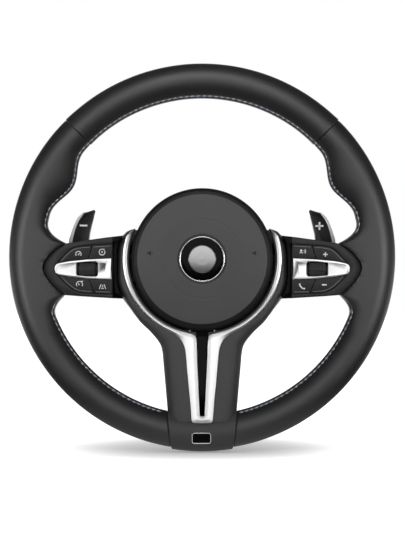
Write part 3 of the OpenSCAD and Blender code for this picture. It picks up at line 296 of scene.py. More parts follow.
# %% Brushed: noise pulled out along the height of the wheel
brushed, inside, outside, place = effect_group("brushed", {"Lines per metre": 2600.0}, ["Height"])
stretch = brushed.nodes.new("ShaderNodeVectorMath")
stretch.operation = "MULTIPLY"
stretch.inputs[1].default_value = (1.0, 1.0, 0.03)
brushed.links.new(place, stretch.inputs[0])
lines = noise_node(brushed, stretch.outputs[0], inside.outputs["Lines per metre"], 3.0, 0.6)
brushed.links.new(lines, outside.inputs["Height"])

# %% Spun: rings round the cushion's axis
CUSHION_DROP = 2.5
spun, inside, outside, place = effect_group("spun", {"Rings per metre": 2400.0}, ["Height"])
centred = spun.nodes.new("ShaderNodeVectorMath")
centred.operation = "ADD"
centred.inputs[1].default_value = (0, 0, CUSHION_DROP * MM)
flat = spun.nodes.new("ShaderNodeVectorMath")
flat.operation = "MULTIPLY"
flat.inputs[1].default_value = (1, 0, 1)
radius = spun.nodes.new("ShaderNodeVectorMath")
radius.operation = "LENGTH"
spun.links.new(place, centred.inputs[0])
spun.links.new(centred.outputs[0], flat.inputs[0])
spun.links.new(flat.outputs[0], radius.inputs[0])
ring_place = spun.nodes.new("ShaderNodeCombineXYZ")
spun.links.new(radius.outputs["Value"], ring_place.inputs["X"])
rings = noise_node(spun, ring_place.outputs[0], inside.outputs["Rings per metre"], 2.0)
spun.links.new(rings, outside.inputs["Height"])

# %% Weave: crossing threads, for cloth and braided sleeves
weave, inside, outside, place = effect_group("weave", {"Threads per metre": 900.0}, ["Height"])
warp = weave.nodes.new("ShaderNodeTexWave")
warp.bands_direction = "X"
weft = weave.nodes.new("ShaderNodeTexWave")
weft.bands_direction = "Z"
for threads in (warp, weft):
    weave.links.new(place, threads.inputs["Vector"])
    weave.links.new(inside.outputs["Threads per metre"], threads.inputs["Scale"])
crossing = math_node(weave, "MAXIMUM", warp.outputs["Fac"], weft.outputs["Fac"])
weave.links.new(crossing, outside.inputs["Height"])
print("effects", [g.name for g in bpy.data.node_groups])

# %% [markdown]
# ## Materials
# A finish is a Principled shader with its plain numbers set on it, a base colour that `patina`
# moves between two tones, and a bump from one of the effects. The same helper makes them all, so
# that a finish is described in one line: its tones, its roughness and what its surface is like.

# %% Helper for a finish


def finish(name, dark, light, roughness, metallic=0.0, specular=0.5, effect=None, amount=None,
           bump=0.1, depth=0.1, patch=22.0, spread=0.06):
    """A material whose tone and roughness vary with the patina, and whose bump is an effect's height.

    depth is the bump's distance in millimetres, and spread how far the roughness varies."""
    material = bpy.data.materials.new(name)
    material.use_nodes = True
    tree = material.node_tree
    shader = tree.nodes["Principled BSDF"]
    shader.inputs["Metallic"].default_value = metallic
    shader.inputs["Specular IOR Level"].default_value = specular
    worn = tree.nodes.new("ShaderNodeGroup")
    worn.node_tree = patina
    worn.inputs["Patch scale"].default_value = patch
    tones = tree.nodes.new("ShaderNodeMix")
    tones.data_type = "RGBA"
    tones.inputs["A"].default_value = (*dark, 1)
    tones.inputs["B"].default_value = (*light, 1)
    tree.links.new(worn.outputs["Mask"], tones.inputs["Factor"])
    tree.links.new(tones.outputs["Result"], shader.inputs["Base Color"])
    rough = tree.nodes.new("ShaderNodeMapRange")
    rough.inputs["To Min"].default_value = roughness - spread
    rough.inputs["To Max"].default_value = roughness + spread
    tree.links.new(worn.outputs["Mask"], rough.inputs["Value"])
    tree.links.new(rough.outputs["Result"], shader.inputs["Roughness"])
    if effect is not None:
        surface = tree.nodes.new("ShaderNodeGroup")
        surface.node_tree = effect
        surface.inputs[0].default_value = amount
        bumps = tree.nodes.new("ShaderNodeBump")
        bumps.inputs["Strength"].default_value = bump
        bumps.inputs["Distance"].default_value = depth * MM
        tree.links.new(surface.outputs["Height"], bumps.inputs["Height"])
        tree.links.new(bumps.outputs["Normal"], shader.inputs["Normal"])
    return material


def grey(value, warmth=0.0):
    """A nearly neutral colour, a little redder than blue where warmth is above 0."""
    return (value * (1 + warmth), value, value * (1 - warmth))


# %% Finishes of each material slot
FINISHES = {
    "leather": finish("rim_leather", grey(0.006), grey(0.014), 0.50, specular=0.9,
                      effect=grain, amount=1150.0, bump=0.30, depth=0.11, patch=18.0),
    "foam": finish("foam_skin", grey(0.012), grey(0.02), 0.8, specular=0.2, effect=grain, amount=500.0),
    "cast_alloy": finish("cast_alloy", grey(0.30, 0.01), grey(0.42), 0.46, metallic=0.9,
                         effect=grain, amount=1400.0, bump=0.5, depth=0.15, patch=60.0),
    "soft_plastic": finish("soft_touch_plastic", grey(0.028), grey(0.042), 0.55, specular=0.55,
                           effect=grain, amount=2300.0, bump=0.28, depth=0.05, patch=14.0),
    "cushion_skin": finish("cushion_skin", grey(0.042), grey(0.062), 0.60, specular=0.5,
                           effect=grain, amount=1500.0, bump=0.45, depth=0.10, patch=26.0),
    "satin_metal": finish("satin_metal", grey(0.74, 0.004), grey(0.86, 0.004), 0.34, metallic=1.0,
                          effect=brushed, amount=2600.0, bump=0.12, depth=0.02, patch=40.0),
    "chrome": finish("chrome", grey(0.84), grey(0.92), 0.20, metallic=1.0, effect=grain,
                     amount=700.0, bump=0.02, depth=0.01, spread=0.03),
    "gloss_black": finish("gloss_black", grey(0.001), grey(0.002), 0.14, specular=0.07, effect=grain,
                          amount=260.0, bump=0.03, depth=0.02, spread=0.04),
    "bezel_plastic": finish("bezel_plastic", grey(0.006), grey(0.012), 0.44, specular=0.4,
                            effect=grain, amount=2600.0, bump=0.25, depth=0.04, patch=30.0),
    "button_plastic": finish("button_plastic", grey(0.008), grey(0.014), 0.44, specular=0.3,
                             effect=grain, amount=3000.0, bump=0.2, depth=0.03, patch=40.0),
    "paddle_plastic": finish("paddle_plastic", grey(0.008), grey(0.014), 0.40, specular=0.3,
                             effect=grain, amount=2600.0, bump=0.2, depth=0.04, patch=30.0),
    "dark_plastic": finish("moulded_plastic", grey(0.014), grey(0.026), 0.55, specular=0.35,
                           effect=grain, amount=1300.0, bump=0.4, depth=0.1),
    "roller_rubber": finish("roller_rubber", grey(0.020), grey(0.034), 0.5, specular=0.4,
                            effect=grain, amount=2600.0, bump=0.2, depth=0.04),
    "circuit_board": finish("circuit_board", (0.01, 0.05, 0.025), (0.02, 0.09, 0.045), 0.35,
                            effect=weave, amount=500.0, bump=0.2, depth=0.05),
    "silicone": finish("silicone_mat", grey(0.22), grey(0.30), 0.6, specular=0.3, effect=grain,
                       amount=900.0, bump=0.2, depth=0.05),
    "wire_sheath": finish("braided_sleeve", grey(0.008), grey(0.018), 0.7, specular=0.3, effect=weave,
                          amount=900.0, bump=0.8, depth=0.25),
    "textile": finish("airbag_cloth", grey(0.55, 0.03), grey(0.66, 0.03), 0.85, specular=0.2,
                      effect=weave, amount=700.0, bump=0.6, depth=0.2),
    "steel": finish("zinc_plated_steel", grey(0.45, 0.01), grey(0.58, 0.01), 0.3, metallic=1.0,
                    effect=brushed, amount=1800.0, bump=0.15, depth=0.03),
}
print("finishes", len(FINISHES))

# %% [markdown]
# ## From numbers to pieces
# A piece made here is a sheet: rows of points that are joined by quads. The same helper makes
# a lathe part, a grip, a moulding and a thread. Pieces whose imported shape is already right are
# copied, and get rounded edges from a bevel, because light catches every real edge.

# %% Helpers for meshes


def grid_faces(rows, columns, row_loop=False, column_loop=False, flip=False):
    """Quads of a sheet of points that is stored row by row."""
    faces = []
    for i in range(rows if row_loop else rows - 1):
        for j in range(columns if column_loop else columns - 1):
            k = (i + 1) % rows
            m = (j + 1) % columns
            quad = (i * columns + j, i * columns + m, k * columns + m, k * columns + j)
            faces.append(quad[::-1] if flip else quad)
    return faces


def piece(name, points, faces, body, finish_name, replaced=(), sharp=35.0):
    """A smooth mesh in its body, from points in millimetres. sharp is the angle of a hard edge."""
    mesh = bpy.data.meshes.new(name)
    mesh.from_pydata([Vector(p) * MM for p in points], [], faces)
    mesh.validate()
    work = bmesh.new()
    work.from_mesh(mesh)
    bmesh.ops.recalc_face_normals(work, faces=work.faces)
    work.to_mesh(mesh)
    work.free()
    return settle(name, mesh, body, finish_name, replaced, sharp)


def settle(name, mesh, body, finish_name, replaced=(), sharp=35.0):
    """Put a mesh in the scene with its finish, on its body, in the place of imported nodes."""
    for polygon in mesh.polygons:
        polygon.use_smooth = True
    mesh.set_sharp_from_angle(angle=math.radians(sharp))
    mesh.materials.clear()
    mesh.materials.append(FINISHES[finish_name])
    made = bpy.data.objects.new(name, mesh)
    bpy.context.scene.collection.objects.link(made)
    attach(made, body)
    if replaced:
        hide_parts(*replaced)
    return made


def joined(parts):
    """One list of points and one of faces from several (points, faces) pairs."""
    points, faces = [], []
    for some_points, some_faces in parts:
        start = len(points)
        points += list(some_points)
        faces += [tuple(k + start for k in face) for face in some_faces]
    return points, faces


def bevelled(node, width, angle=32.0, segments=2, finish_name=None):
    """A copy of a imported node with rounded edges, in the node's place."""
    mesh = nodes[node].data.copy()
    work = bmesh.new()
    work.from_mesh(mesh)
    bmesh.ops.remove_doubles(work, verts=work.verts, dist=0.004 * MM)
    bmesh.ops.dissolve_limit(work, angle_limit=math.radians(0.8), verts=work.verts, edges=work.edges)
    work.to_mesh(mesh)
    work.free()
    holder = bpy.data.objects.new("holder", mesh)
    bpy.context.scene.collection.objects.link(holder)
    rounding = holder.modifiers.new("rounding", "BEVEL")
    rounding.width = width * MM
    rounding.segments = segments
    rounding.limit_method = "ANGLE"
    rounding.angle_limit = math.radians(angle)
    rounding.use_clamp_overlap = True
    shaped = bpy.data.meshes.new_from_object(
        holder.evaluated_get(bpy.context.evaluated_depsgraph_get()))
    bpy.data.objects.remove(holder)
    bpy.data.meshes.remove(mesh)
    slot = slot_of_node[node]
    return settle(node + "_rounded", shaped, body_of_node[node], finish_name or slot, [node], 40.0)


def mix(a, b, k):
    return a + (b - a) * k


def spread(a, b, count):
    """count numbers from a to b, both included."""
    return [mix(a, b, i / (count - 1)) for i in range(count)]


def curve(points, steps):
    """Catmull-Rom curve through points, with a number of steps between two points."""
    out = []
    last = len(points) - 1
    for i in range(last):
        p0, p1, p2, p3 = (Vector(points[k]) for k in (max(i - 1, 0), i, i + 1, min(i + 2, last)))
        for s in range(steps):
            k = s / steps
            out.append(0.5 * (2 * p1 + (p2 - p0) * k + (2 * p0 - 5 * p1 + 4 * p2 - p3) * k * k
                              + (3 * p1 - p0 - 3 * p2 + p3) * k ** 3))
    return out + [Vector(points[last])]


def lathe(profile, steps=144, centre_z=-CUSHION_DROP):
    """Points and faces of a profile of (radius, y) turned round the cushion's axis."""
    points = [(r * math.cos(2 * math.pi * i / steps), y, centre_z + r * math.sin(2 * math.pi * i / steps))
              for i in range(steps) for r, y in profile]
    return points, grid_faces(steps, len(profile), row_loop=True)


for packed in nodes.values():
    wanted = FINISHES[slot_of_node[packed.name]]
    if not packed.material_slots:
        packed.data.materials.append(wanted)
    for holder in packed.material_slots:
        holder.material = wanted
print("packed nodes with a finish", len(nodes))

# %% [markdown]
# ## The grip
# A leather rim is a steel or alloy ring with foam moulded round it, and leather glued and sewn
# over the foam. Its section is an oval that grows into a thumb rest above each spoke. The same
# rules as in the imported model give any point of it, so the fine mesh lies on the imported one.

# %% Shape of the grip
RIM_R = 185.0
CREST_R = RIM_R - 16.3
GRIP_IN_R = RIM_R - 33.6
GRIP_DEPTH = 34.0
THUMB_RISE = 11.3
THUMB_ANGLE = 28.5
THUMB_SPREAD = 13.2
SEAM_ANGLE = 45.0
LEATHER_T = 1.4
ROOT_HIGH, ROOT_LOW = 5.5, -15.7
FILLET_HIGH, FILLET_LOW = 7.6, 6.0
NOSE_MID, NOSE_IN = -4.3, 1.2
FOOT_ANGLE = 10.9
FOOT_LEAN, FOOT_LEAN_FADE = -0.104, 14.0


def signed_power(value, power):
    return math.copysign(abs(value) ** power, value)


def pod_nose_r(e):
    """Inside radius of the grip where a pod meets it, at an elevation e."""
    if e > NOSE_MID:
        return GRIP_IN_R + NOSE_IN - 0.455 * (e - NOSE_MID) ** 1.7
    return GRIP_IN_R + NOSE_IN - 0.4226 * (NOSE_MID - e) ** 1.5


def thumb(e):
    """How far the thumb rest stands in at an elevation."""
    if abs(e - THUMB_ANGLE) >= THUMB_SPREAD:
        return 0.0
    return THUMB_RISE * math.cos(math.radians(90 * (e - THUMB_ANGLE) / THUMB_SPREAD)) ** 2


def grip_inner_r(e):
    """Inside radius of the grip at an elevation."""
    if e > ROOT_HIGH + FILLET_HIGH:
        return GRIP_IN_R - thumb(e)
    if e > ROOT_HIGH:
        return (GRIP_IN_R - thumb(e)
                - (GRIP_IN_R - pod_nose_r(ROOT_HIGH)) * (1 - (e - ROOT_HIGH) / FILLET_HIGH) ** 2.5)
    if e > ROOT_LOW:
        return mix(pod_nose_r(ROOT_LOW), pod_nose_r(ROOT_HIGH), (e - ROOT_LOW) / (ROOT_HIGH - ROOT_LOW))
    if e > ROOT_LOW - FILLET_LOW:
        return GRIP_IN_R - (GRIP_IN_R - pod_nose_r(ROOT_LOW)) * (1 - (ROOT_LOW - e) / FILLET_LOW) ** 2
    return GRIP_IN_R


def root_weight(e):
    """How far the inner half of the section is squared off, from 0 to 1 at the spokes."""
    if e > ROOT_HIGH:
        return max(0.0, 1 - (e - ROOT_HIGH) / (2 * FILLET_HIGH))
    if e < ROOT_LOW:
        return max(0.0, 1 - (ROOT_LOW - e) / (2 * FILLET_LOW))
    return 1.0


def lean(u):
    """Lean of a section near the foot, u degrees from the rim's lowest point."""
    if abs(u) <= FOOT_ANGLE:
        return u / FOOT_ANGLE
    return math.copysign(max(0.0, 1 - (abs(u) - FOOT_ANGLE) / FOOT_LEAN_FADE), u)


def grip_point(t, f, inset):
    """A point on the grip: angle t round the wheel, f round the grip, inset under its face."""
    e = math.degrees(math.asin(math.sin(math.radians(t))))
    across, along = math.cos(math.radians(f)), math.sin(math.radians(f))
    if across >= 0:
        n = 2
        r = CREST_R + (16.3 - inset) * across
    else:
        n = 2 + 2 * root_weight(e)
        r = CREST_R + (CREST_R - grip_inner_r(e) - inset) * signed_power(across, 2 / n)
    if ROOT_LOW < e < ROOT_HIGH:
        r = max(r, pod_nose_r(e) + inset)
    y = -RIM_REACH - (GRIP_DEPTH / 2 - inset) * signed_power(along, 2 / n)
    u = t + 90 if t < 0 else t - 270 if t > 180 else 90
    angle = math.radians(t + (FOOT_LEAN * lean(u) * (r - CREST_R) if abs(u) < 45 else 0))
    return r * math.cos(angle), y, r * math.sin(angle)


def seam_line(t):
    """Place round the section of the sewn seam, just outside the grip's inner edge."""
    e = math.degrees(math.asin(math.sin(math.radians(t))))
    width = CREST_R - grip_inner_r(e)
    n = 2 + 2 * root_weight(e)
    share = (width - SEAM_IN) / width
    return 180 - math.degrees(math.acos(min(1.0, share ** (n / 2))))


SEAM_IN = 1.3
print("inside radius at the thumb rest", round(grip_inner_r(THUMB_ANGLE), 1))

# %% [markdown]
# ## Leather
# Three pieces of leather cover the rim. Where two of them meet, their edges are turned in, and
# the top one stands a little prouder. Along the inside of the rim each piece's two edges are
# drawn together by a seam, which lies in a shallow groove. The grain itself is in the material.

# %% Leather pieces
SECTION_STEPS = 60
GROOVE_DEPTH = 0.55
GROOVE_WIDTH = 1.9
EDGE_ROUND = 1.5
TOP_PROUD = 0.35
SEAM_NOMINAL = 145.8


def section_angles(t):
    """Angles round the section, closer together near the seam, which always falls on one."""
    shift = seam_line(t) - SEAM_NOMINAL
    angles = [6.0 * k for k in range(22)] + spread(132.0, 144.0, 9)[:-1] \
        + spread(144.0, 147.6, 7)[:-1] + spread(147.6, 162.0, 10)[:-1] + [162.0 + 6 * k for k in range(33)]
    return [a + shift * max(0.0, 1 - abs(a - SEAM_NOMINAL) / (34.0 if a > SEAM_NOMINAL else 55.0))
            for a in angles]


def groove(t, f):
    """Depth of the sewn groove at a place, and 0 where nothing is sewn."""
    e = math.degrees(math.asin(math.sin(math.radians(t))))
    sewn = e > STITCH_HIGH or (FOOT_ANGLE - 90 < e < STITCH_LOW)
    away = math.radians(f - seam_line(t)) * GRIP_DEPTH / 2
    return GROOVE_DEPTH * math.exp(-(away / GROOVE_WIDTH) ** 2) if sewn else 0.0


STITCH_HIGH = 8.0
STITCH_LOW = -17.0


def leather_piece(name, start, end, step, proud_start, proud_end, node):
    """A tube of leather between two angles, with turned-in edges that stand proud or sink."""
    count = round(abs(end - start) / step) + 1
    angles = [(start, 0.0)]
    for share in (0.08, 0.3, 0.6, 1.0):
        angles.append((start + math.copysign(math.degrees(EDGE_ROUND * share / CREST_R), end - start), share))
    inner_start = start + math.copysign(math.degrees(EDGE_ROUND / CREST_R), end - start) * 1.4
    inner_end = end - (inner_start - start)
    angles += [(t, 1.0) for t in spread(inner_start, inner_end, count)]
    for share in (1.0, 0.6, 0.3, 0.08):
        angles.append((end - math.copysign(math.degrees(EDGE_ROUND * share / CREST_R), end - start), share))
    angles.append((end, 0.0))
    outer, inner = [], []
    for t, share in angles:
        turned = EDGE_ROUND * 0.55 * (1 - math.sqrt(1 - (1 - share) ** 2))
        fade_start = math.exp(-abs(t - start) / 2.5)
        fade_end = math.exp(-abs(t - end) / 2.5)
        inset = turned - proud_start * fade_start - proud_end * fade_end
        outer.append([grip_point(t, f, inset + groove(t, f)) for f in section_angles(t)])
        inner.append([grip_point(t, f, LEATHER_T) for f in section_angles(t)])
    rows = inner[:1] + outer + inner[-1:]
    points = [p for row in rows for p in row]
    right_hand = (end > start)
    faces = grid_faces(len(rows), len(rows[0]), column_loop=True, flip=not right_hand)
    return piece(name, points, faces, "wheel", "leather", [node], 50.0)


leather_piece("leather_top", SEAM_ANGLE, 180 - SEAM_ANGLE, 0.5, TOP_PROUD, TOP_PROUD, "rim_leather_top")
leather_piece("leather_right", FOOT_ANGLE - 90, SEAM_ANGLE, 0.5, 0.0, -TOP_PROUD, "rim_leather_right")
leather_piece("leather_left", 270 - FOOT_ANGLE, 180 - SEAM_ANGLE, 0.5, 0.0, -TOP_PROUD, "rim_leather_left")
print("section steps", len(section_angles(90)))

# %% [markdown]
# ## Stitching
# A cross stitch draws the two edges together: a zigzag thread lies in the groove, and short
# straight dashes show beside it. Each visible length of thread is a small tube with narrow ends
# that is bent over the leather, so the stitches catch light as real thread does.

# %% Thread finishes
FINISHES["thread_pale"] = finish("thread_pale", grey(0.42), grey(0.56), 0.75, specular=0.3, effect=weave,
                                 amount=2500.0, bump=0.4, depth=0.05)
FINISHES["thread_slate"] = finish("thread_slate", (0.24, 0.27, 0.36), (0.32, 0.35, 0.45), 0.75, specular=0.3,
                                  effect=weave, amount=2500.0, bump=0.4, depth=0.05)

# %% Stitches
STITCH_PITCH = 5.6
THUMB_PITCH = 4.4
DASH_R, ZIGZAG_R, BEAD_R = 0.42, 0.34, 0.35
DASH_OUT, ZIGZAG_OUT, ZIGZAG_IN, BEAD_IN = 1.9, 1.2, -0.8, -1.7


def tube(path, radius, sides=7, taper=True):
    """Points and faces of a tube along a path; taper narrows its first and last section."""
    points = []
    last = len(path) - 1
    for i, middle in enumerate(path):
        way = (Vector(path[min(i + 1, last)]) - Vector(path[max(i - 1, 0)])).normalized()
        side = way.cross(Vector((0.13, 0.97, 0.21))).normalized()
        up = side.cross(way)
        r = radius * (0.45 if taper and i in (0, last) else 1.0)
        for k in range(sides):
            a = 2 * math.pi * k / sides
            points.append(Vector(middle) + side * (r * math.cos(a)) + up * (r * math.sin(a)))
    faces = grid_faces(len(path), sides, column_loop=True)
    faces += [tuple(range(sides))[::-1], tuple(last * sides + k for k in range(sides))]
    return points, faces


def on_seam(t, out, lift):
    """A place near the seam: out millimetres from it towards the crest, lift over the leather."""
    f = seam_line(t) - math.degrees(out / (GRIP_DEPTH / 2))
    return grip_point(t, f, groove(t, f) - lift)


def thread(t0, out0, t1, out1, radius):
    """One visible length of thread between two places."""
    path = []
    for k in (0.0, 0.15, 0.35, 0.65, 0.85, 1.0):
        lift = radius * (0.15 + 2.2 * k * (1 - k))
        path.append(on_seam(mix(t0, t1, k), mix(out0, out1, k), lift))
    return tube(path, radius)


def sew(start, end):
    """Dashes, zigzag and bead of one run of seam, from one angle to another."""
    dashes, zigzag = [], []
    t = start
    while t < end:
        e = math.degrees(math.asin(math.sin(math.radians(t))))
        closeness = thumb(e) / THUMB_RISE
        step = math.degrees(mix(STITCH_PITCH, THUMB_PITCH, closeness) / (grip_inner_r(e) + SEAM_IN))
        if t + step > end:
            break
        dashes.append(thread(t + 0.22 * step, DASH_OUT, t + 0.72 * step, DASH_OUT, DASH_R))
        zigzag.append(thread(t, ZIGZAG_OUT, t + 0.5 * step, ZIGZAG_IN, ZIGZAG_R))
        zigzag.append(thread(t + 0.5 * step, ZIGZAG_IN, t + step, ZIGZAG_OUT, ZIGZAG_R))
        t += step
    bead = tube([on_seam(k, BEAD_IN, 0.1) for k in spread(start, end, round((end - start) / 0.7))], BEAD_R)
    return dashes, zigzag, [bead]


runs = [sew(STITCH_HIGH + 0.4, 180 - STITCH_HIGH - 0.4), sew(FOOT_ANGLE - 89, STITCH_LOW - 0.5),
        sew(180 - STITCH_LOW + 0.5, 269 - FOOT_ANGLE)]
FINISHES["seam_bead"] = finish("seam_bead", grey(0.006), grey(0.012), 0.6, specular=0.25, effect=grain,
                               amount=2000.0, bump=0.2, depth=0.05)
for which, (name, colour) in enumerate([("stitch_dashes", "thread_pale"), ("stitch_zigzag", "thread_slate"),
                                        ("seam_bead", "seam_bead")]):
    points, faces = joined([part for run in runs for part in run[which]])
    piece(name, points, faces, "wheel", colour, sharp=60.0)
print("stitches", sum(len(run[0]) for run in runs))

# %% [markdown]
# ## Spoke cover
# One black moulding runs beside the cushion, down the lower spoke and round the bottom of the
# rim. Its face is level beside the cushion and then slopes out to the rim. Its outer edge rolls
# back, which is what gives the soft highlight down each side. The foot is a sleeve over the rim.

# %% Outlines of the cover
CUSHION_R = 68.0
COVER_REACH = 53.0
CUSHION_GAP = 2.3
BAND_W = 13.5
LEG_W, LEG_LOW_W = 77.0, 66.0
COVER_T = 2.5
FOOT_PROUD = 1.7
SLOT_W, SLOT_LOW_W = 11.4, 4.6
CUSHION_LOW = -CUSHION_DROP - CUSHION_R
COVER_IN_R = CUSHION_R + CUSHION_GAP
LEVEL_Z = -72.0
FACE_SLOPE = (RIM_REACH + GRIP_DEPTH / 2 + 0.5 - COVER_REACH) / (GRIP_IN_R + 11.6 + LEVEL_Z)
COVER_BACK = -36.0
LEG_Z = CUSHION_LOW - 19.5
SLOT_END = -GRIP_IN_R - 0.6
SLOT_CORNER = 85.3
COVER_END = -GRIP_IN_R - 8.6
SLOT_LIP = COVER_T + 2.5
BACK_FLARE, CORNER_FLARE = 0.28, 1.4
POD_MID, POD_HALF = -10.0, 28.0


def beside_cushion(a, d):
    """A place by the cushion: an angle above the horizontal on the left, and a distance outside."""
    return (-(CUSHION_R + d) * math.cos(math.radians(a)),
            -CUSHION_DROP + (CUSHION_R + d) * math.sin(math.radians(a)))


def face_y(z):
    """Depth of the cover's face at a height."""
    return -COVER_REACH - max(0.0, LEVEL_Z - z) * FACE_SLOPE


def slot_half(z):
    share = (CUSHION_LOW - 7.5 - z) / (GRIP_IN_R - 0.4 + CUSHION_LOW - 7.5)
    return mix(SLOT_W / 2, SLOT_LOW_W / 2, min(1.0, max(0.0, share)))


def elevation(p):
    return math.degrees(math.atan2(p[1] + CUSHION_DROP, -p[0]))


def cover_inner(p):
    """The inner edge's point that goes with a point of the outer edge."""
    if p[1] <= COVER_END:
        return (-1.2, SLOT_END)
    if p[1] < LEG_Z:
        z = mix(-CUSHION_DROP - COVER_IN_R + 0.2, SLOT_END + 1.5, (LEG_Z - p[1]) / (LEG_Z - COVER_END))
        return (-slot_half(z), z)
    a, low = elevation(p), elevation((-LEG_W / 2, LEG_Z))
    if a <= -45:
        a = -45 - (-45 - a) * (SLOT_CORNER - 45) / (-45 - low)
    return beside_cushion(a, CUSHION_GAP)


cover_side = [(p.x, p.y) for p in curve([(*p, 0.0) for p in [
    beside_cushion(24.2, CUSHION_GAP + 0.6), beside_cushion(21.5, 6.8), beside_cushion(18.5, 9.3),
    beside_cushion(10, BAND_W - 0.4), beside_cushion(-4, BAND_W + 0.2), beside_cushion(-20, BAND_W + 3),
    beside_cushion(-42, BAND_W + 2.7), beside_cushion(-54.3, BAND_W + 4.1),
    (-LEG_W / 2 - 3.5, CUSHION_LOW - 11), (-LEG_W / 2, CUSHION_LOW - 19.5),
    (-LEG_W / 2 + 1.8, CUSHION_LOW - 37), (-LEG_LOW_W / 2, -GRIP_IN_R + 3),
    (-LEG_LOW_W / 2 + 1.5, -GRIP_IN_R - 8.6)]], 9)]
print("points down one side", len(cover_side))

# %% Cover and foot
EDGE_STEPS = 9


def cover_row(q, p, inset):
    """A row across the cover from its inner edge q over the rolled edge p and back."""
    long = math.dist(p, q)
    way = ((p[0] - q[0]) / long, (p[1] - q[1]) / long)
    leg = min(1.0, max(0.0, (-60 - p[1]) / 30))
    in_slot = min(1.0, max(0.0, (-66 - p[1]) / 20))
    round_w = min(mix(5.2, 14, leg), 0.75 * long)
    drop = min(mix(7, 11, leg), round_w * 1.4)
    t = min(inset, 0.3 * long)
    places = [(0, None), (0, 0.8), (0.25, 0.25), (0.8, 0)]
    places += [(mix(0.8, long - round_w, k), 0) for k in (0.33, 0.66)]
    for k in range(EDGE_STEPS + 1):
        a = math.pi / 2 * k / EDGE_STEPS
        places.append((long - round_w + round_w * math.sin(a), drop * (1 - math.cos(a) ** 1.15)))
    row = []
    for s, depth in places:
        across = t + s * (long - 2 * t) / long
        x, z = q[0] + way[0] * across, q[1] + way[1] * across
        if depth is None:
            y = mix(COVER_BACK, face_y(z) + SLOT_LIP, in_slot)
        else:
            y = face_y(z) + depth + (COVER_T if inset else 0)
        row.append((x, y, z))
    near_corner = max(0.0, 1 - abs(abs(p[1] - POD_MID) - POD_HALF) / 12)
    flare = BACK_FLARE + CORNER_FLARE * near_corner
    return row + [(row[-1][0] + way[0] * flare, COVER_BACK, row[-1][2] + way[1] * flare)]


def with_mirror(rows):
    """Rows of the left half and of its mirror image, once where they meet on the middle."""
    return rows + [[(-x, y, z) for x, y, z in row] for row in rows[-2::-1]]


outer_edge = cover_side + [(x, COVER_END - 4.5 + 1.5 * (x / 20) ** 2) for x in spread(-29, 0, 12)]
inner_edge = [cover_inner(p) for p in cover_side] + [(x, SLOT_END) for x in spread(-1.1, 0, 12)]
front_rows = with_mirror([cover_row(q, p, 0) for q, p in zip(inner_edge, outer_edge)])
back_rows = with_mirror([cover_row(q, p, COVER_T) for q, p in zip(inner_edge, outer_edge)])
shell_rows = [front + back[::-1] for front, back in zip(front_rows, back_rows)]
cover_points = [p for row in shell_rows for p in row]
cover_faces = grid_faces(len(shell_rows), len(shell_rows[0]), column_loop=True)
columns = len(shell_rows[0])
for first in (0, (len(shell_rows) - 1) * columns):
    cover_faces += [(first + k, first + k + 1, first + columns - 2 - k, first + columns - 1 - k)
                    for k in range(columns // 2 - 1)]

FOOT_ROUND = 1.3
foot_rows = []
foot_turns = [-FOOT_ANGLE + math.degrees(FOOT_ROUND * k / CREST_R) for k in (0, 0.06, 0.22, 0.5, 0.75, 1)]
foot_turns += spread(foot_turns[-1] + 0.3, -foot_turns[-1] - 0.3, 40) + [-u for u in foot_turns[::-1]]
for u in foot_turns:
    share = min(1.0, (FOOT_ANGLE - abs(u)) * math.radians(CREST_R) / FOOT_ROUND)
    proud = FOOT_PROUD - FOOT_ROUND * (1 - math.sqrt(1 - (1 - share) ** 2))
    foot_rows.append([grip_point(u - 90, 5.0 * k, -proud) for k in range(72)])
foot_rows = [[grip_point(foot_turns[0] - 90, 5.0 * k, LEATHER_T) for k in range(72)]] + foot_rows \
    + [[grip_point(foot_turns[-1] - 90, 5.0 * k, LEATHER_T) for k in range(72)]]
foot = ([p for row in foot_rows for p in row], grid_faces(len(foot_rows), 72, column_loop=True, flip=True))
points, faces = joined([(cover_points, cover_faces), foot])
piece("spoke_moulding", points, faces, "wheel", "soft_plastic", ["spoke_cover"], 48.0)
print("rows of the cover", len(shell_rows))

# %% [markdown]
# ## Metal trim
# The trim is one satin metal piece that starts as a thin sickle beside the cushion and closes
# round the slot like a wishbone. A crest runs along it, with a wide bevel on the side of the
# slot. Its corners are rounded here by a few tenths, so that each shows as a fine bright line.

# %% Trim
TRIM_IN = CUSHION_GAP + 1.5
TRIM_W, TRIM_T = 4.2, 1.8
TRIM_SEAT = 0.05


def flat_curve(points, steps):
    return [(p.x, p.y) for p in curve([(*p, 0.0) for p in points], steps)]


arm_outer = flat_curve([(-25, CUSHION_LOW - 5), (-20.4, CUSHION_LOW - 9.2), (-17.4, CUSHION_LOW - 14.5),
                        (-16, CUSHION_LOW - 20), (-15.1, CUSHION_LOW - 29), (-13.3, CUSHION_LOW - 49.5),
                        (-11.3, -GRIP_IN_R + 11.4), (-10.2, -GRIP_IN_R - 4)], 6)
arm_inner = flat_curve([(-20.5, CUSHION_LOW - 0.9), (-13.5, CUSHION_LOW - 2.8), (-8.4, CUSHION_LOW - 4.2),
                        (-SLOT_W / 2 - 0.1, CUSHION_LOW - 8), (-slot_half(-97), -97), (-slot_half(-118), -118),
                        (-slot_half(-138), -138), (-SLOT_LOW_W / 2, SLOT_END + 1.2)], 6)
tips = [(24, 2.9, 24.3, 3.2), (21.5, 3.3, 21.5, 5.2), (19, 3.7, 19, 7.2)]
ring_turns = spread(17, -66, 56)
trim_inner = [beside_cushion(a, d) for a, d, _, _ in tips] \
    + [beside_cushion(a, TRIM_IN) for a in ring_turns] + arm_inner \
    + [(-SLOT_LOW_W / 2 + 0.3, SLOT_END + 0.3), (-SLOT_LOW_W / 2 + 1, SLOT_END), (0, SLOT_END)]
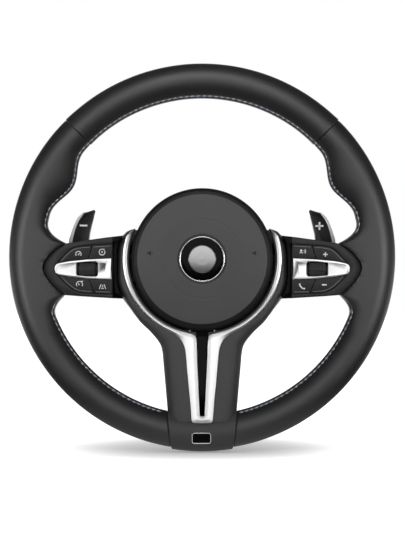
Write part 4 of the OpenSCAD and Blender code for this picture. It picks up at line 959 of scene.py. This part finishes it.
trim_outer = [beside_cushion(a, d) for _, _, a, d in tips] \
    + [beside_cushion(a, TRIM_IN + TRIM_W) for a in ring_turns] + arm_outer \
    + [(-9.4, -GRIP_IN_R - 6.2), (-8, -GRIP_IN_R - 7), (0, -GRIP_IN_R - 7.2)]


def eased(points, reach, steps=3):
    """A line of points with each inner corner rounded over a reach on both sides."""
    out = [Vector(points[0])]
    for before, corner, after in zip(points, points[1:], points[2:]):
        before, corner, after = Vector(before), Vector(corner), Vector(after)
        enter = corner + (before - corner) * min(0.45, reach / max((before - corner).length, 1e-6))
        leave = corner + (after - corner) * min(0.45, reach / max((after - corner).length, 1e-6))
        for s in range(steps + 1):
            k = s / steps
            out.append(enter * (1 - k) ** 2 + corner * (2 * k * (1 - k)) + leave * k ** 2)
    return out + [Vector(points[-1])]


def trim_row(q, p):
    """The trim's section between a point of its inner edge and one of its outer edge."""
    share = min(0.55, 4 / math.dist(p, q))
    crest = (mix(q[0], p[0], share), mix(q[1], p[1], share))
    line = [(x, face_y(z) - TRIM_SEAT - rise * TRIM_T, z)
            for (x, z), rise in ((p, 0), (p, 0.6), (crest, 1), (q, 0.5), (q, 0))]
    return [tuple(v) for v in eased(line, 0.35)]


trim_rows = with_mirror([trim_row(q, p) for q, p in zip(trim_inner, trim_outer)])
trim_columns = len(trim_rows[0])
trim_faces = grid_faces(len(trim_rows), trim_columns, column_loop=True)
trim_faces += [tuple(range(trim_columns)),
               tuple((len(trim_rows) - 1) * trim_columns + k for k in range(trim_columns))]
piece("wishbone_trim", [p for row in trim_rows for p in row], trim_faces, "wheel", "satin_metal", ["trim"],
      28.0)
print("rows of the trim", len(trim_rows))

# %% [markdown]
# ## Horn cushion
# The cushion is a turned shape: a crowned, grained face, a smooth rolled edge and a straight
# wall. A real one is a soft moulding with a tear line inside. The faint ring is pressed into its
# face. The two horn signs are thin prints darker than the face: painted shade that stands in for
# signs pressed into it. The edge has its own, smoother and darker finish.

# %% Cushion
FACE_R = 62.5
CUSHION_REACH = 57.5
CROWN = 4.5
EMBLEM_SEAT = -CUSHION_REACH - CROWN + 2.2
EMBLEM_R = 22.0
SEAT_R = EMBLEM_R + 1.2
CUSHION_FOOT = -24.0
FAINT_RING_R = 38.0


def dome_y(r):
    """Depth of the cushion's face at a distance from its axis."""
    faint = 0.22 * math.exp(-((r - FAINT_RING_R) / 0.8) ** 2)
    return -CUSHION_REACH - CROWN * (1 - (r / FACE_R) ** 2) + faint


profile = [(0.01, EMBLEM_SEAT), (SEAT_R - 0.4, EMBLEM_SEAT), (SEAT_R, EMBLEM_SEAT - 0.4),
           (SEAT_R + 0.1, dome_y(SEAT_R) + 0.7), (SEAT_R + 0.4, dome_y(SEAT_R) + 0.2)]
profile += [(r, dome_y(r)) for r in spread(SEAT_R + 0.9, FAINT_RING_R - 3, 8)]
profile += [(r, dome_y(r)) for r in spread(FAINT_RING_R - 2.4, FAINT_RING_R + 2.4, 13)]
profile += [(r, dome_y(r)) for r in spread(FAINT_RING_R + 4, FACE_R - 0.5, 12)]
face_columns = len(profile)
profile += [(FACE_R, -CUSHION_REACH + 0.15)]
profile += [(FACE_R + 5.5 * math.sin(a), -CUSHION_REACH + 6.5 - 6.2 * math.cos(a))
            for a in spread(0.06, math.pi / 2, 12)]
profile += [(CUSHION_R - 0.5, CUSHION_FOOT), (CUSHION_R - 3.5, CUSHION_FOOT),
            (CUSHION_R - 3.5, -CUSHION_REACH + 6.5), (FACE_R - 2, -CUSHION_REACH + 3),
            (0.01, -CUSHION_REACH - CROWN + 3.2)]
points, faces = lathe(profile, 180)
cushion = piece("horn_cushion_cover", points, faces, "horn_cushion", "cushion_skin", ["airbag_cover"],
                30.0)
FINISHES["cushion_edge"] = finish("cushion_edge", grey(0.006), grey(0.011), 0.46, specular=0.22, effect=grain,
                                  amount=2600.0, bump=0.15, depth=0.03)
cushion.data.materials.append(FINISHES["cushion_edge"])
for polygon in cushion.data.polygons:
    middle = polygon.center / MM
    reach = math.hypot(middle.x, middle.z + CUSHION_DROP)
    if reach > FACE_R - 0.3:
        polygon.material_index = 1
print("cushion columns", len(profile))

# %% Emblem: ring, gloss base and turned disc
base_profile = [(0.01, EMBLEM_SEAT), (EMBLEM_R, EMBLEM_SEAT), (EMBLEM_R, EMBLEM_SEAT - 0.8),
                (EMBLEM_R - 1.6, EMBLEM_SEAT - 1.1), (18.0, EMBLEM_SEAT - 1.62), (13.4, EMBLEM_SEAT - 1.9),
                (0.01, EMBLEM_SEAT - 1.9)]
points, faces = lathe([(v.x, v.y) for v in eased([(*p, 0.0) for p in base_profile], 0.2)])
piece("emblem_gloss_base", points, faces, "horn_cushion", "gloss_black", ["emblem_base"])
ring_profile = [(EMBLEM_R - 1.6, EMBLEM_SEAT - 1.1), (EMBLEM_R - 1.5, EMBLEM_SEAT - 1.9),
                (EMBLEM_R - 0.8, EMBLEM_SEAT - 2.2), (EMBLEM_R - 0.2, EMBLEM_SEAT - 1.8),
                (EMBLEM_R, EMBLEM_SEAT - 0.8)]
points, faces = lathe([(v.x, v.y) for v in eased([(*p, 0.0) for p in ring_profile], 0.3)])
piece("emblem_bright_ring", points, faces, "horn_cushion", "chrome", ["emblem_ring"], 50.0)
FINISHES["spun_metal"] = finish("spun_metal", grey(0.32), grey(0.40), 0.30, metallic=1.0, effect=spun,
                                amount=2400.0, bump=0.25, depth=0.03)
disc_profile = [(13.2, EMBLEM_SEAT - 1.9), (12.6, EMBLEM_SEAT - 2.5), (6.0, EMBLEM_SEAT - 2.97),
                (0.01, EMBLEM_SEAT - 3.1)]
points, faces = lathe([(v.x, v.y) for v in eased([(*p, 0.0) for p in disc_profile], 0.3)])
piece("emblem_spun_disc", points, faces, "horn_cushion", "spun_metal", ["emblem_disc"], 50.0)
print("emblem outside radius", EMBLEM_R)

# %% [markdown]
# ## Pods, buttons and blades
# The bezels, housings, buttons and blades keep their imported shapes. Copies with rounded edges
# take their places. The inner end of each bezel is near black: painted shade of the recess there.
# Near-black liners round the roller windows are painted shade of the gap round each roller.
# A thin ridge follows the outer edge of each button, a little inside it, so that a thumb finds the
# edge. The ridge is coloured much lighter than the button: a painted highlight for the fine light
# line there.

# %% Rounded copies of the pods, with painted shade at each bezel's inner end
# Each bezel is cut across near its inner end, and the part nearer the middle gets the near-black gloss finish:
# painted shade of the deep recess between the buttons and the spoke cover.
BEZEL_SHADE_X = 85.6
for side, sign in (("left", -1), ("right", 1)):
    bezel = bevelled("pod_bezel_" + side, 0.55, segments=3)
    work = bmesh.new()
    work.from_mesh(bezel.data)
    bmesh.ops.bisect_plane(work, geom=work.verts[:] + work.edges[:] + work.faces[:],
                           plane_co=(sign * BEZEL_SHADE_X * MM, 0, 0), plane_no=(1, 0, 0))
    work.to_mesh(bezel.data)
    work.free()
    bezel.data.materials.append(FINISHES["gloss_black"])
    for polygon in bezel.data.polygons:
        polygon.material_index = int(abs(polygon.center.x) < BEZEL_SHADE_X * MM)
    bevelled("switch_housing_" + side, 0.3)
    bevelled("blade_" + side, 0.3, segments=3)
    bevelled("paddle_bracket_" + side, 0.3)


def sunk(node, rim, sink, width, face_at):
    """A rounded copy of a flat-faced node whose front face is sunk inside a narrow rim."""
    made = bevelled(node, width, segments=2)
    work = bmesh.new()
    work.from_mesh(made.data)
    front = [f for f in work.faces if f.normal.y < -0.999 and abs(f.calc_center_median().y / MM + face_at) < 0.05]
    bmesh.ops.inset_region(work, faces=front, thickness=rim * MM, use_even_offset=True, use_boundary=True)
    inner = [f for f in front if f.is_valid]
    bmesh.ops.inset_region(work, faces=inner, thickness=0.2 * MM, depth=-sink * MM, use_even_offset=True)
    work.to_mesh(made.data)
    work.free()
    for polygon in made.data.polygons:
        polygon.use_smooth = True
    made.data.set_sharp_from_angle(angle=math.radians(30))
    return made


BUTTON_FACE = 59.1
button_names = [n for n in nodes if n.startswith("button_")]
for node in button_names:
    bevelled(node, 0.4, segments=3)
print("buttons", len(button_names))

# %% Painted shade: near-black liners round the roller windows
WINDOW_W, WINDOW_H, WINDOW_ROUND = 19.4, 13.0, 2.0
SHADE_LINER_W = 0.8
BLADE_FACE = 59.9
# Each liner is a near-black sheet over the window's wall, with a thin lip on the blade's face. Its black is
# painted shade of the gap round the roller.
for side, sign in (("left", 1), ("right", -1)):
    rows = []
    for out, y in ((0.02, -BLADE_FACE + 1.5), (0.02, -BLADE_FACE - 0.12), (SHADE_LINER_W, -BLADE_FACE - 0.12),
                   (SHADE_LINER_W, -BLADE_FACE + 0.05)):
        row = []
        for k in range(64):
            a = 2 * math.pi * (k + 0.5) / 64
            x = math.copysign(WINDOW_W / 2 - WINDOW_ROUND, math.cos(a)) + (WINDOW_ROUND + out) * math.cos(a)
            z = math.copysign(WINDOW_H / 2 - WINDOW_ROUND, math.sin(a)) + (WINDOW_ROUND + out) * math.sin(a)
            row.append((sign * (-GRIP_IN_R + 41.7) + x, y, -12.0 + z))
        rows.append(row)
    piece("window_liner_" + side, [p for row in rows for p in row], grid_faces(4, 64, column_loop=True), "wheel",
          "gloss_black")
print("liner width", SHADE_LINER_W)

# %% Ridges on the buttons, coloured as a painted highlight
RIDGE_IN = 1.9
RIDGE_R = 0.5
# The ridge's finish is about ten times lighter than the button plastic: a painted highlight for the fine light
# line along each ridge.
FINISHES["button_ridge"] = finish("button_ridge", grey(0.09), grey(0.12), 0.42, specular=0.5, effect=grain,
                                  amount=3000.0, bump=0.1, depth=0.02)


def pod_point(d, z):
    """A place on the left pod, counted from the grip's inside."""
    return (-GRIP_IN_R + d, z)


cluster_edge = [pod_point(66, 12)] + flat_curve(
    [pod_point(*p) for p in [(36.4, 10.2), (26.4, 7.4), (16.4, -2.2), (12, -7.4), (10.3, -11.8), (12.4, -16.6),
                             (23.4, -28.2), (32.4, -33.8), (41.4, -35.2)]], 6) + [pod_point(66, -36)]


def inside_line(line, reach):
    """A line drawn at a distance on the left-hand side of another, going the same way."""
    out = []
    last = len(line) - 1
    for i, p in enumerate(line):
        way = (Vector(line[min(i + 1, last)]) - Vector(line[max(i - 1, 0)])).normalized()
        out.append((p[0] - way.y * reach, p[1] + way.x * reach))
    return out


ridge_line = inside_line(cluster_edge, RIDGE_IN)
RIDGES = {"upper_inner": (47.9, 64, 1), "upper_outer": (17.0, 44.4, 1), "lower_outer": (17.4, 46.0, -1),
          "lower_inner": (49.6, 64, -1)}


def ridge_path(start, end, upper):
    """Places of the ridge between two distances along the pod, on its upper or its lower half."""
    way = [p for p in ridge_line if (p[1] + 12) * upper > 0]
    way = sorted(way)
    out = []
    for d in spread(start, end, 22):
        x = -GRIP_IN_R + d
        k = max(i for i in range(len(way) - 1) if way[i][0] <= x or i == 0)
        share = (x - way[k][0]) / (way[k + 1][0] - way[k][0])
        out.append((x, -BUTTON_FACE + 0.16, mix(way[k][1], way[k + 1][1], share)))
    return out


for which, (start, end, upper) in RIDGES.items():
    for side, sign in (("left", 1), ("right", -1)):
        path = [(x * sign, y, z) for x, y, z in ridge_path(start, end, upper)]
        points, faces = tube(path, RIDGE_R, 8)
        piece("ridge_" + side + "_" + which, points, faces, "button_%s_%s" % (side, which), "button_ridge",
              sharp=60.0)
print("ridges", 2 * len(RIDGES))

# %% [markdown]
# ## Rollers
# Each thumb roller is a rubber sleeve with ribs along its length, and rounded ends, on a thin
# axle. The ribs are a wave in the radius, narrow between broad crests.

# %% Rollers
ROLLER_R, ROLLER_LEN = 6.1, 16.5
ROLLER_X, ROLLER_Z = -GRIP_IN_R + 41.7, -12.0
ROLLER_Y = -58.5 - 2.8 + ROLLER_R
RIBS = 30
STUB_R = 1.5


def roller_points(centre_x):
    """Points and faces of a ribbed roller whose axis lies along X."""
    ends = [(0.0, 4.2), (0.15, 4.9), (0.5, 5.5), (1.1, 5.9), (1.8, ROLLER_R)]
    profile = ends + [(ROLLER_LEN - along, r) for along, r in ends[::-1]]
    profile = [(0.0, 0.01)] + profile + [(ROLLER_LEN, 0.01)]
    count = RIBS * 8
    rows = []
    for along, r in profile:
        row = []
        for k in range(count):
            a = 2 * math.pi * k / count
            dip = 0.5 * max(0.0, math.cos(RIBS * a)) ** 0.6 if r > 3 else 0.0
            radius = r - dip * min(1.0, max(0.0, (r - 4.2) / 1.0))
            row.append((centre_x - ROLLER_LEN / 2 + along, ROLLER_Y + radius * math.cos(a),
                        ROLLER_Z + radius * math.sin(a)))
        rows.append(row)
    return [p for row in rows for p in row], grid_faces(len(rows), count, column_loop=True)


for side, sign, stub in (("left", 1, 2.4), ("right", -1, 2.1)):
    node = "roller_" + side
    x = sign * ROLLER_X
    reach = ROLLER_LEN / 2 + stub - 0.2
    axle = tube([(x - reach, ROLLER_Y, ROLLER_Z), (x + reach, ROLLER_Y, ROLLER_Z)], STUB_R, 20, taper=False)
    points, faces = joined([roller_points(x), axle])
    piece("ribbed_" + node, points, faces, body_of_node[node], "roller_rubber", [node], 50.0)
print("ribs", RIBS)

# %% [markdown]
# ## Signs on the buttons, paddles and cushion
# The signs are plain pictures that any maker could print: a plus, a minus, a handset, a dial, a
# ring with a dot. Each is a thin raised print made of strokes of one width.

# %% Helpers for signs
FINISHES["print_white"] = finish("print_white", grey(0.62), grey(0.74), 0.55, specular=0.3, effect=grain,
                                 amount=3000.0, bump=0.1, depth=0.02)
# The horn signs' finish is darker than the cushion: painted shade that stands in for signs pressed into the face.
FINISHES["pressed_sign"] = finish("pressed_sign", grey(0.016), grey(0.024), 0.6, specular=0.2, effect=grain,
                                  amount=2600.0, bump=0.1, depth=0.02)
PRINT_LIFT = 0.06


def stroke(path, width, closed=False):
    """A flat ribbon along a path in X and Z, as points and faces; its depth is added later."""
    count = len(path)
    points = []
    for i, (x, z) in enumerate(path):
        before = path[i - 1] if i > 0 or closed else path[i]
        after = path[(i + 1) % count] if i < count - 1 or closed else path[i]
        way = (Vector(after) - Vector(before)).normalized()
        side = Vector((-way.y, way.x)) * (width / 2)
        points += [(x + side.x, z + side.y), (x - side.x, z - side.y)]
    return points, grid_faces(count, 2, row_loop=closed)


def arc(centre, radius, start, end, steps=24):
    return [(centre[0] + radius * math.cos(math.radians(a)), centre[1] + radius * math.sin(math.radians(a)))
            for a in spread(start, end, steps + 1)]


def disc(centre, radius, steps=20):
    return [*arc(centre, radius, 0, 360 - 360 / steps, steps - 1)], [tuple(range(steps))]


def ring(centre, radius, width, start=0, end=360):
    if end - start == 360:
        return stroke(arc(centre, radius, 0, 345, 23), width, closed=True)
    return stroke(arc(centre, radius, start, end), width)


def sign(name, place, parts, body, depth_at, finish_name="print_white"):
    """A print of flat parts at a place, at the depth that depth_at gives for X and Z."""
    flat_points, faces = joined(parts)
    points = []
    for u, v in flat_points:
        x, z = place[0] + u, place[1] + v
        points.append((x, depth_at(x, z) - PRINT_LIFT, z))
    return piece(name, points, faces, body, finish_name)


def button_depth(x, z):
    return -BUTTON_FACE


def cushion_depth(x, z):
    return dome_y(math.hypot(x, z + CUSHION_DROP))


# %% Signs
LINE = 0.62


def plus(size, width):
    return [stroke([(-size / 2, 0), (size / 2, 0)], width), stroke([(0, -size / 2), (0, size / 2)], width)]


limiter = [ring((0, 0), 2.6, LINE, -40, 220), stroke([(0, -0.4), (1.3, 1.1)], LINE), disc((0, -0.5), 0.6)]
gauge = [ring((0, 0), 2.9, LINE, -35, 215), stroke([(-0.2, -0.6), (-1.3, 1.3)], LINE),
         stroke([(1.4, 2.9), (3.3, 2.9)], LINE), stroke([(3.3, 2.9), (2.6, 3.6)], LINE)]
distance = [stroke([(-3.1, -2.4), (-1.4, 2.2)], LINE), stroke([(3.1, -2.4), (1.4, 2.2)], LINE),
            stroke([(-1.1, -1.9), (1.1, -1.9)], LINE), stroke([(-0.8, -0.5), (0.8, -0.5)], LINE),
            stroke([(-0.5, 0.9), (0.5, 0.9)], LINE)]
voice = [disc((-1.1, 1.6), 1.0), stroke([(-2.5, -1.2), (-2.1, -0.1), (-0.4, -0.1), (0.2, -1.2)], LINE),
         ring((0.3, 0.9), 1.6, LINE * 0.8, -45, 45), ring((0.3, 0.9), 2.9, LINE * 0.8, -45, 45)]
handset = [stroke([(-2.6, 1.6), (-1.9, -0.2), (-0.2, -1.9), (1.6, -2.6)], 1.1),
           stroke([(-3.2, 1.4), (-1.9, 2.2)], 1.2), stroke([(1.2, -3.1), (2.2, -1.9)], 1.2)]
resume = [ring((0, 0), 2.8, LINE, 60, 390), stroke([(2.0, 3.2), (1.0, 2.4), (2.4, 1.7)], LINE), disc((0, 0), 0.7)]
SIGNS = [("sign_limiter", (-118, 2.3), limiter, "left_upper_outer"),
         ("sign_resume", (-95.5, 4.2), resume, "left_upper_inner"),
         ("sign_gauge", (-117, -26.6), gauge, "left_lower_outer"),
         ("sign_distance", (-95, -28.6), distance, "left_lower_inner"),
         ("sign_voice", (95.5, 4.0), voice, "right_upper_inner"),
         ("sign_louder", (117.5, 2.0), plus(4.2, 1.0), "right_upper_outer"),
         ("sign_handset", (95.5, -28.2), handset, "right_lower_inner"),
         ("sign_softer", (116.5, -27), [stroke([(-2.2, 0), (2.2, 0)], 1.1)], "right_lower_outer")]
for name, place, parts, which in SIGNS:
    sign(name, place, parts, body_of_node["button_" + which], button_depth)

horn_sign = [([(-2.3, -0.9), (-1.0, -0.9), (1.2, -2.5), (1.2, 2.5), (-1.0, 0.9), (-2.3, 0.9)],
              [(0, 1, 2, 3, 4, 5)]), ring((1.6, 0), 1.0, 0.45, -60, 60)]
# The horn signs are flat prints in the darker finish: painted shade that stands in for pressing.
for name, x in (("horn_sign_left", -50.0), ("horn_sign_right", 50.0)):
    sign(name, (x, 3.2), horn_sign, "horn_cushion", cushion_depth, "pressed_sign")
print("signs", len(SIGNS) + 2)

# %% [markdown]
# ## Paddles
# A paddle is a black face on a metal plate whose edge shows along its outer side. The face is
# sunk inside a rounded border. The right paddle has a plus on it and the left one a minus.

# %% Paddles
PADDLE_FACE = 26.0
FINISHES["paddle_metal"] = finish("paddle_metal", grey(0.34), grey(0.44), 0.36, metallic=1.0, effect=brushed,
                                  amount=2600.0, bump=0.12, depth=0.02)
for side in ("left", "right"):
    sunk("paddle_" + side, 1.2, 0.3, 0.5, PADDLE_FACE)
    bevelled("paddle_plate_" + side, 0.3, finish_name="paddle_metal")


def paddle_depth(x, z):
    return -PADDLE_FACE + 0.3


sign("paddle_minus", (-115, 30.2), [stroke([(-3.7, 0), (3.7, 0)], 1.6)], body_of_node["paddle_left"],
     paddle_depth)
sign("paddle_plus", (113.7, 29.8), plus(7.6, 1.6), body_of_node["paddle_right"], paddle_depth)
print("paddle face at", -PADDLE_FACE)

# %% [markdown]
# ## Small trim and the back
# The badge is a bare gloss plate in a bright frame. The covers, screws, plug and casting behind
# show when the wheel is off the car, so they get rounded edges too. The folded cloth of the bag
# and the foam are soft, and are rounded more.

# %% Rounded copies of the rest
ROUNDED = {"badge_frame": 0.3, "badge_plate": 0.2, "slot_insert": 0.2, "rear_cover": 0.6, "lower_back_cover": 0.6,
           "connector_block": 0.4, "cover_screws": 0.25, "armature": 0.8, "rim_foam": 0.5, "airbag_pack": 1.5,
           "module_plate": 0.3, "gas_generator": 0.6, "generator_nuts": 0.3}
for node, width in ROUNDED.items():
    bevelled(node, width)
print("rounded copies", len(ROUNDED))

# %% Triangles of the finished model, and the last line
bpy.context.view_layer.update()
triangles = {o.name: sum(len(p.vertices) - 2 for p in o.data.polygons)
             for o in bpy.data.objects if o.type == "MESH" and not o.hide_render}
print("triangles", sum(triangles.values()), "largest", max(triangles, key=triangles.get))
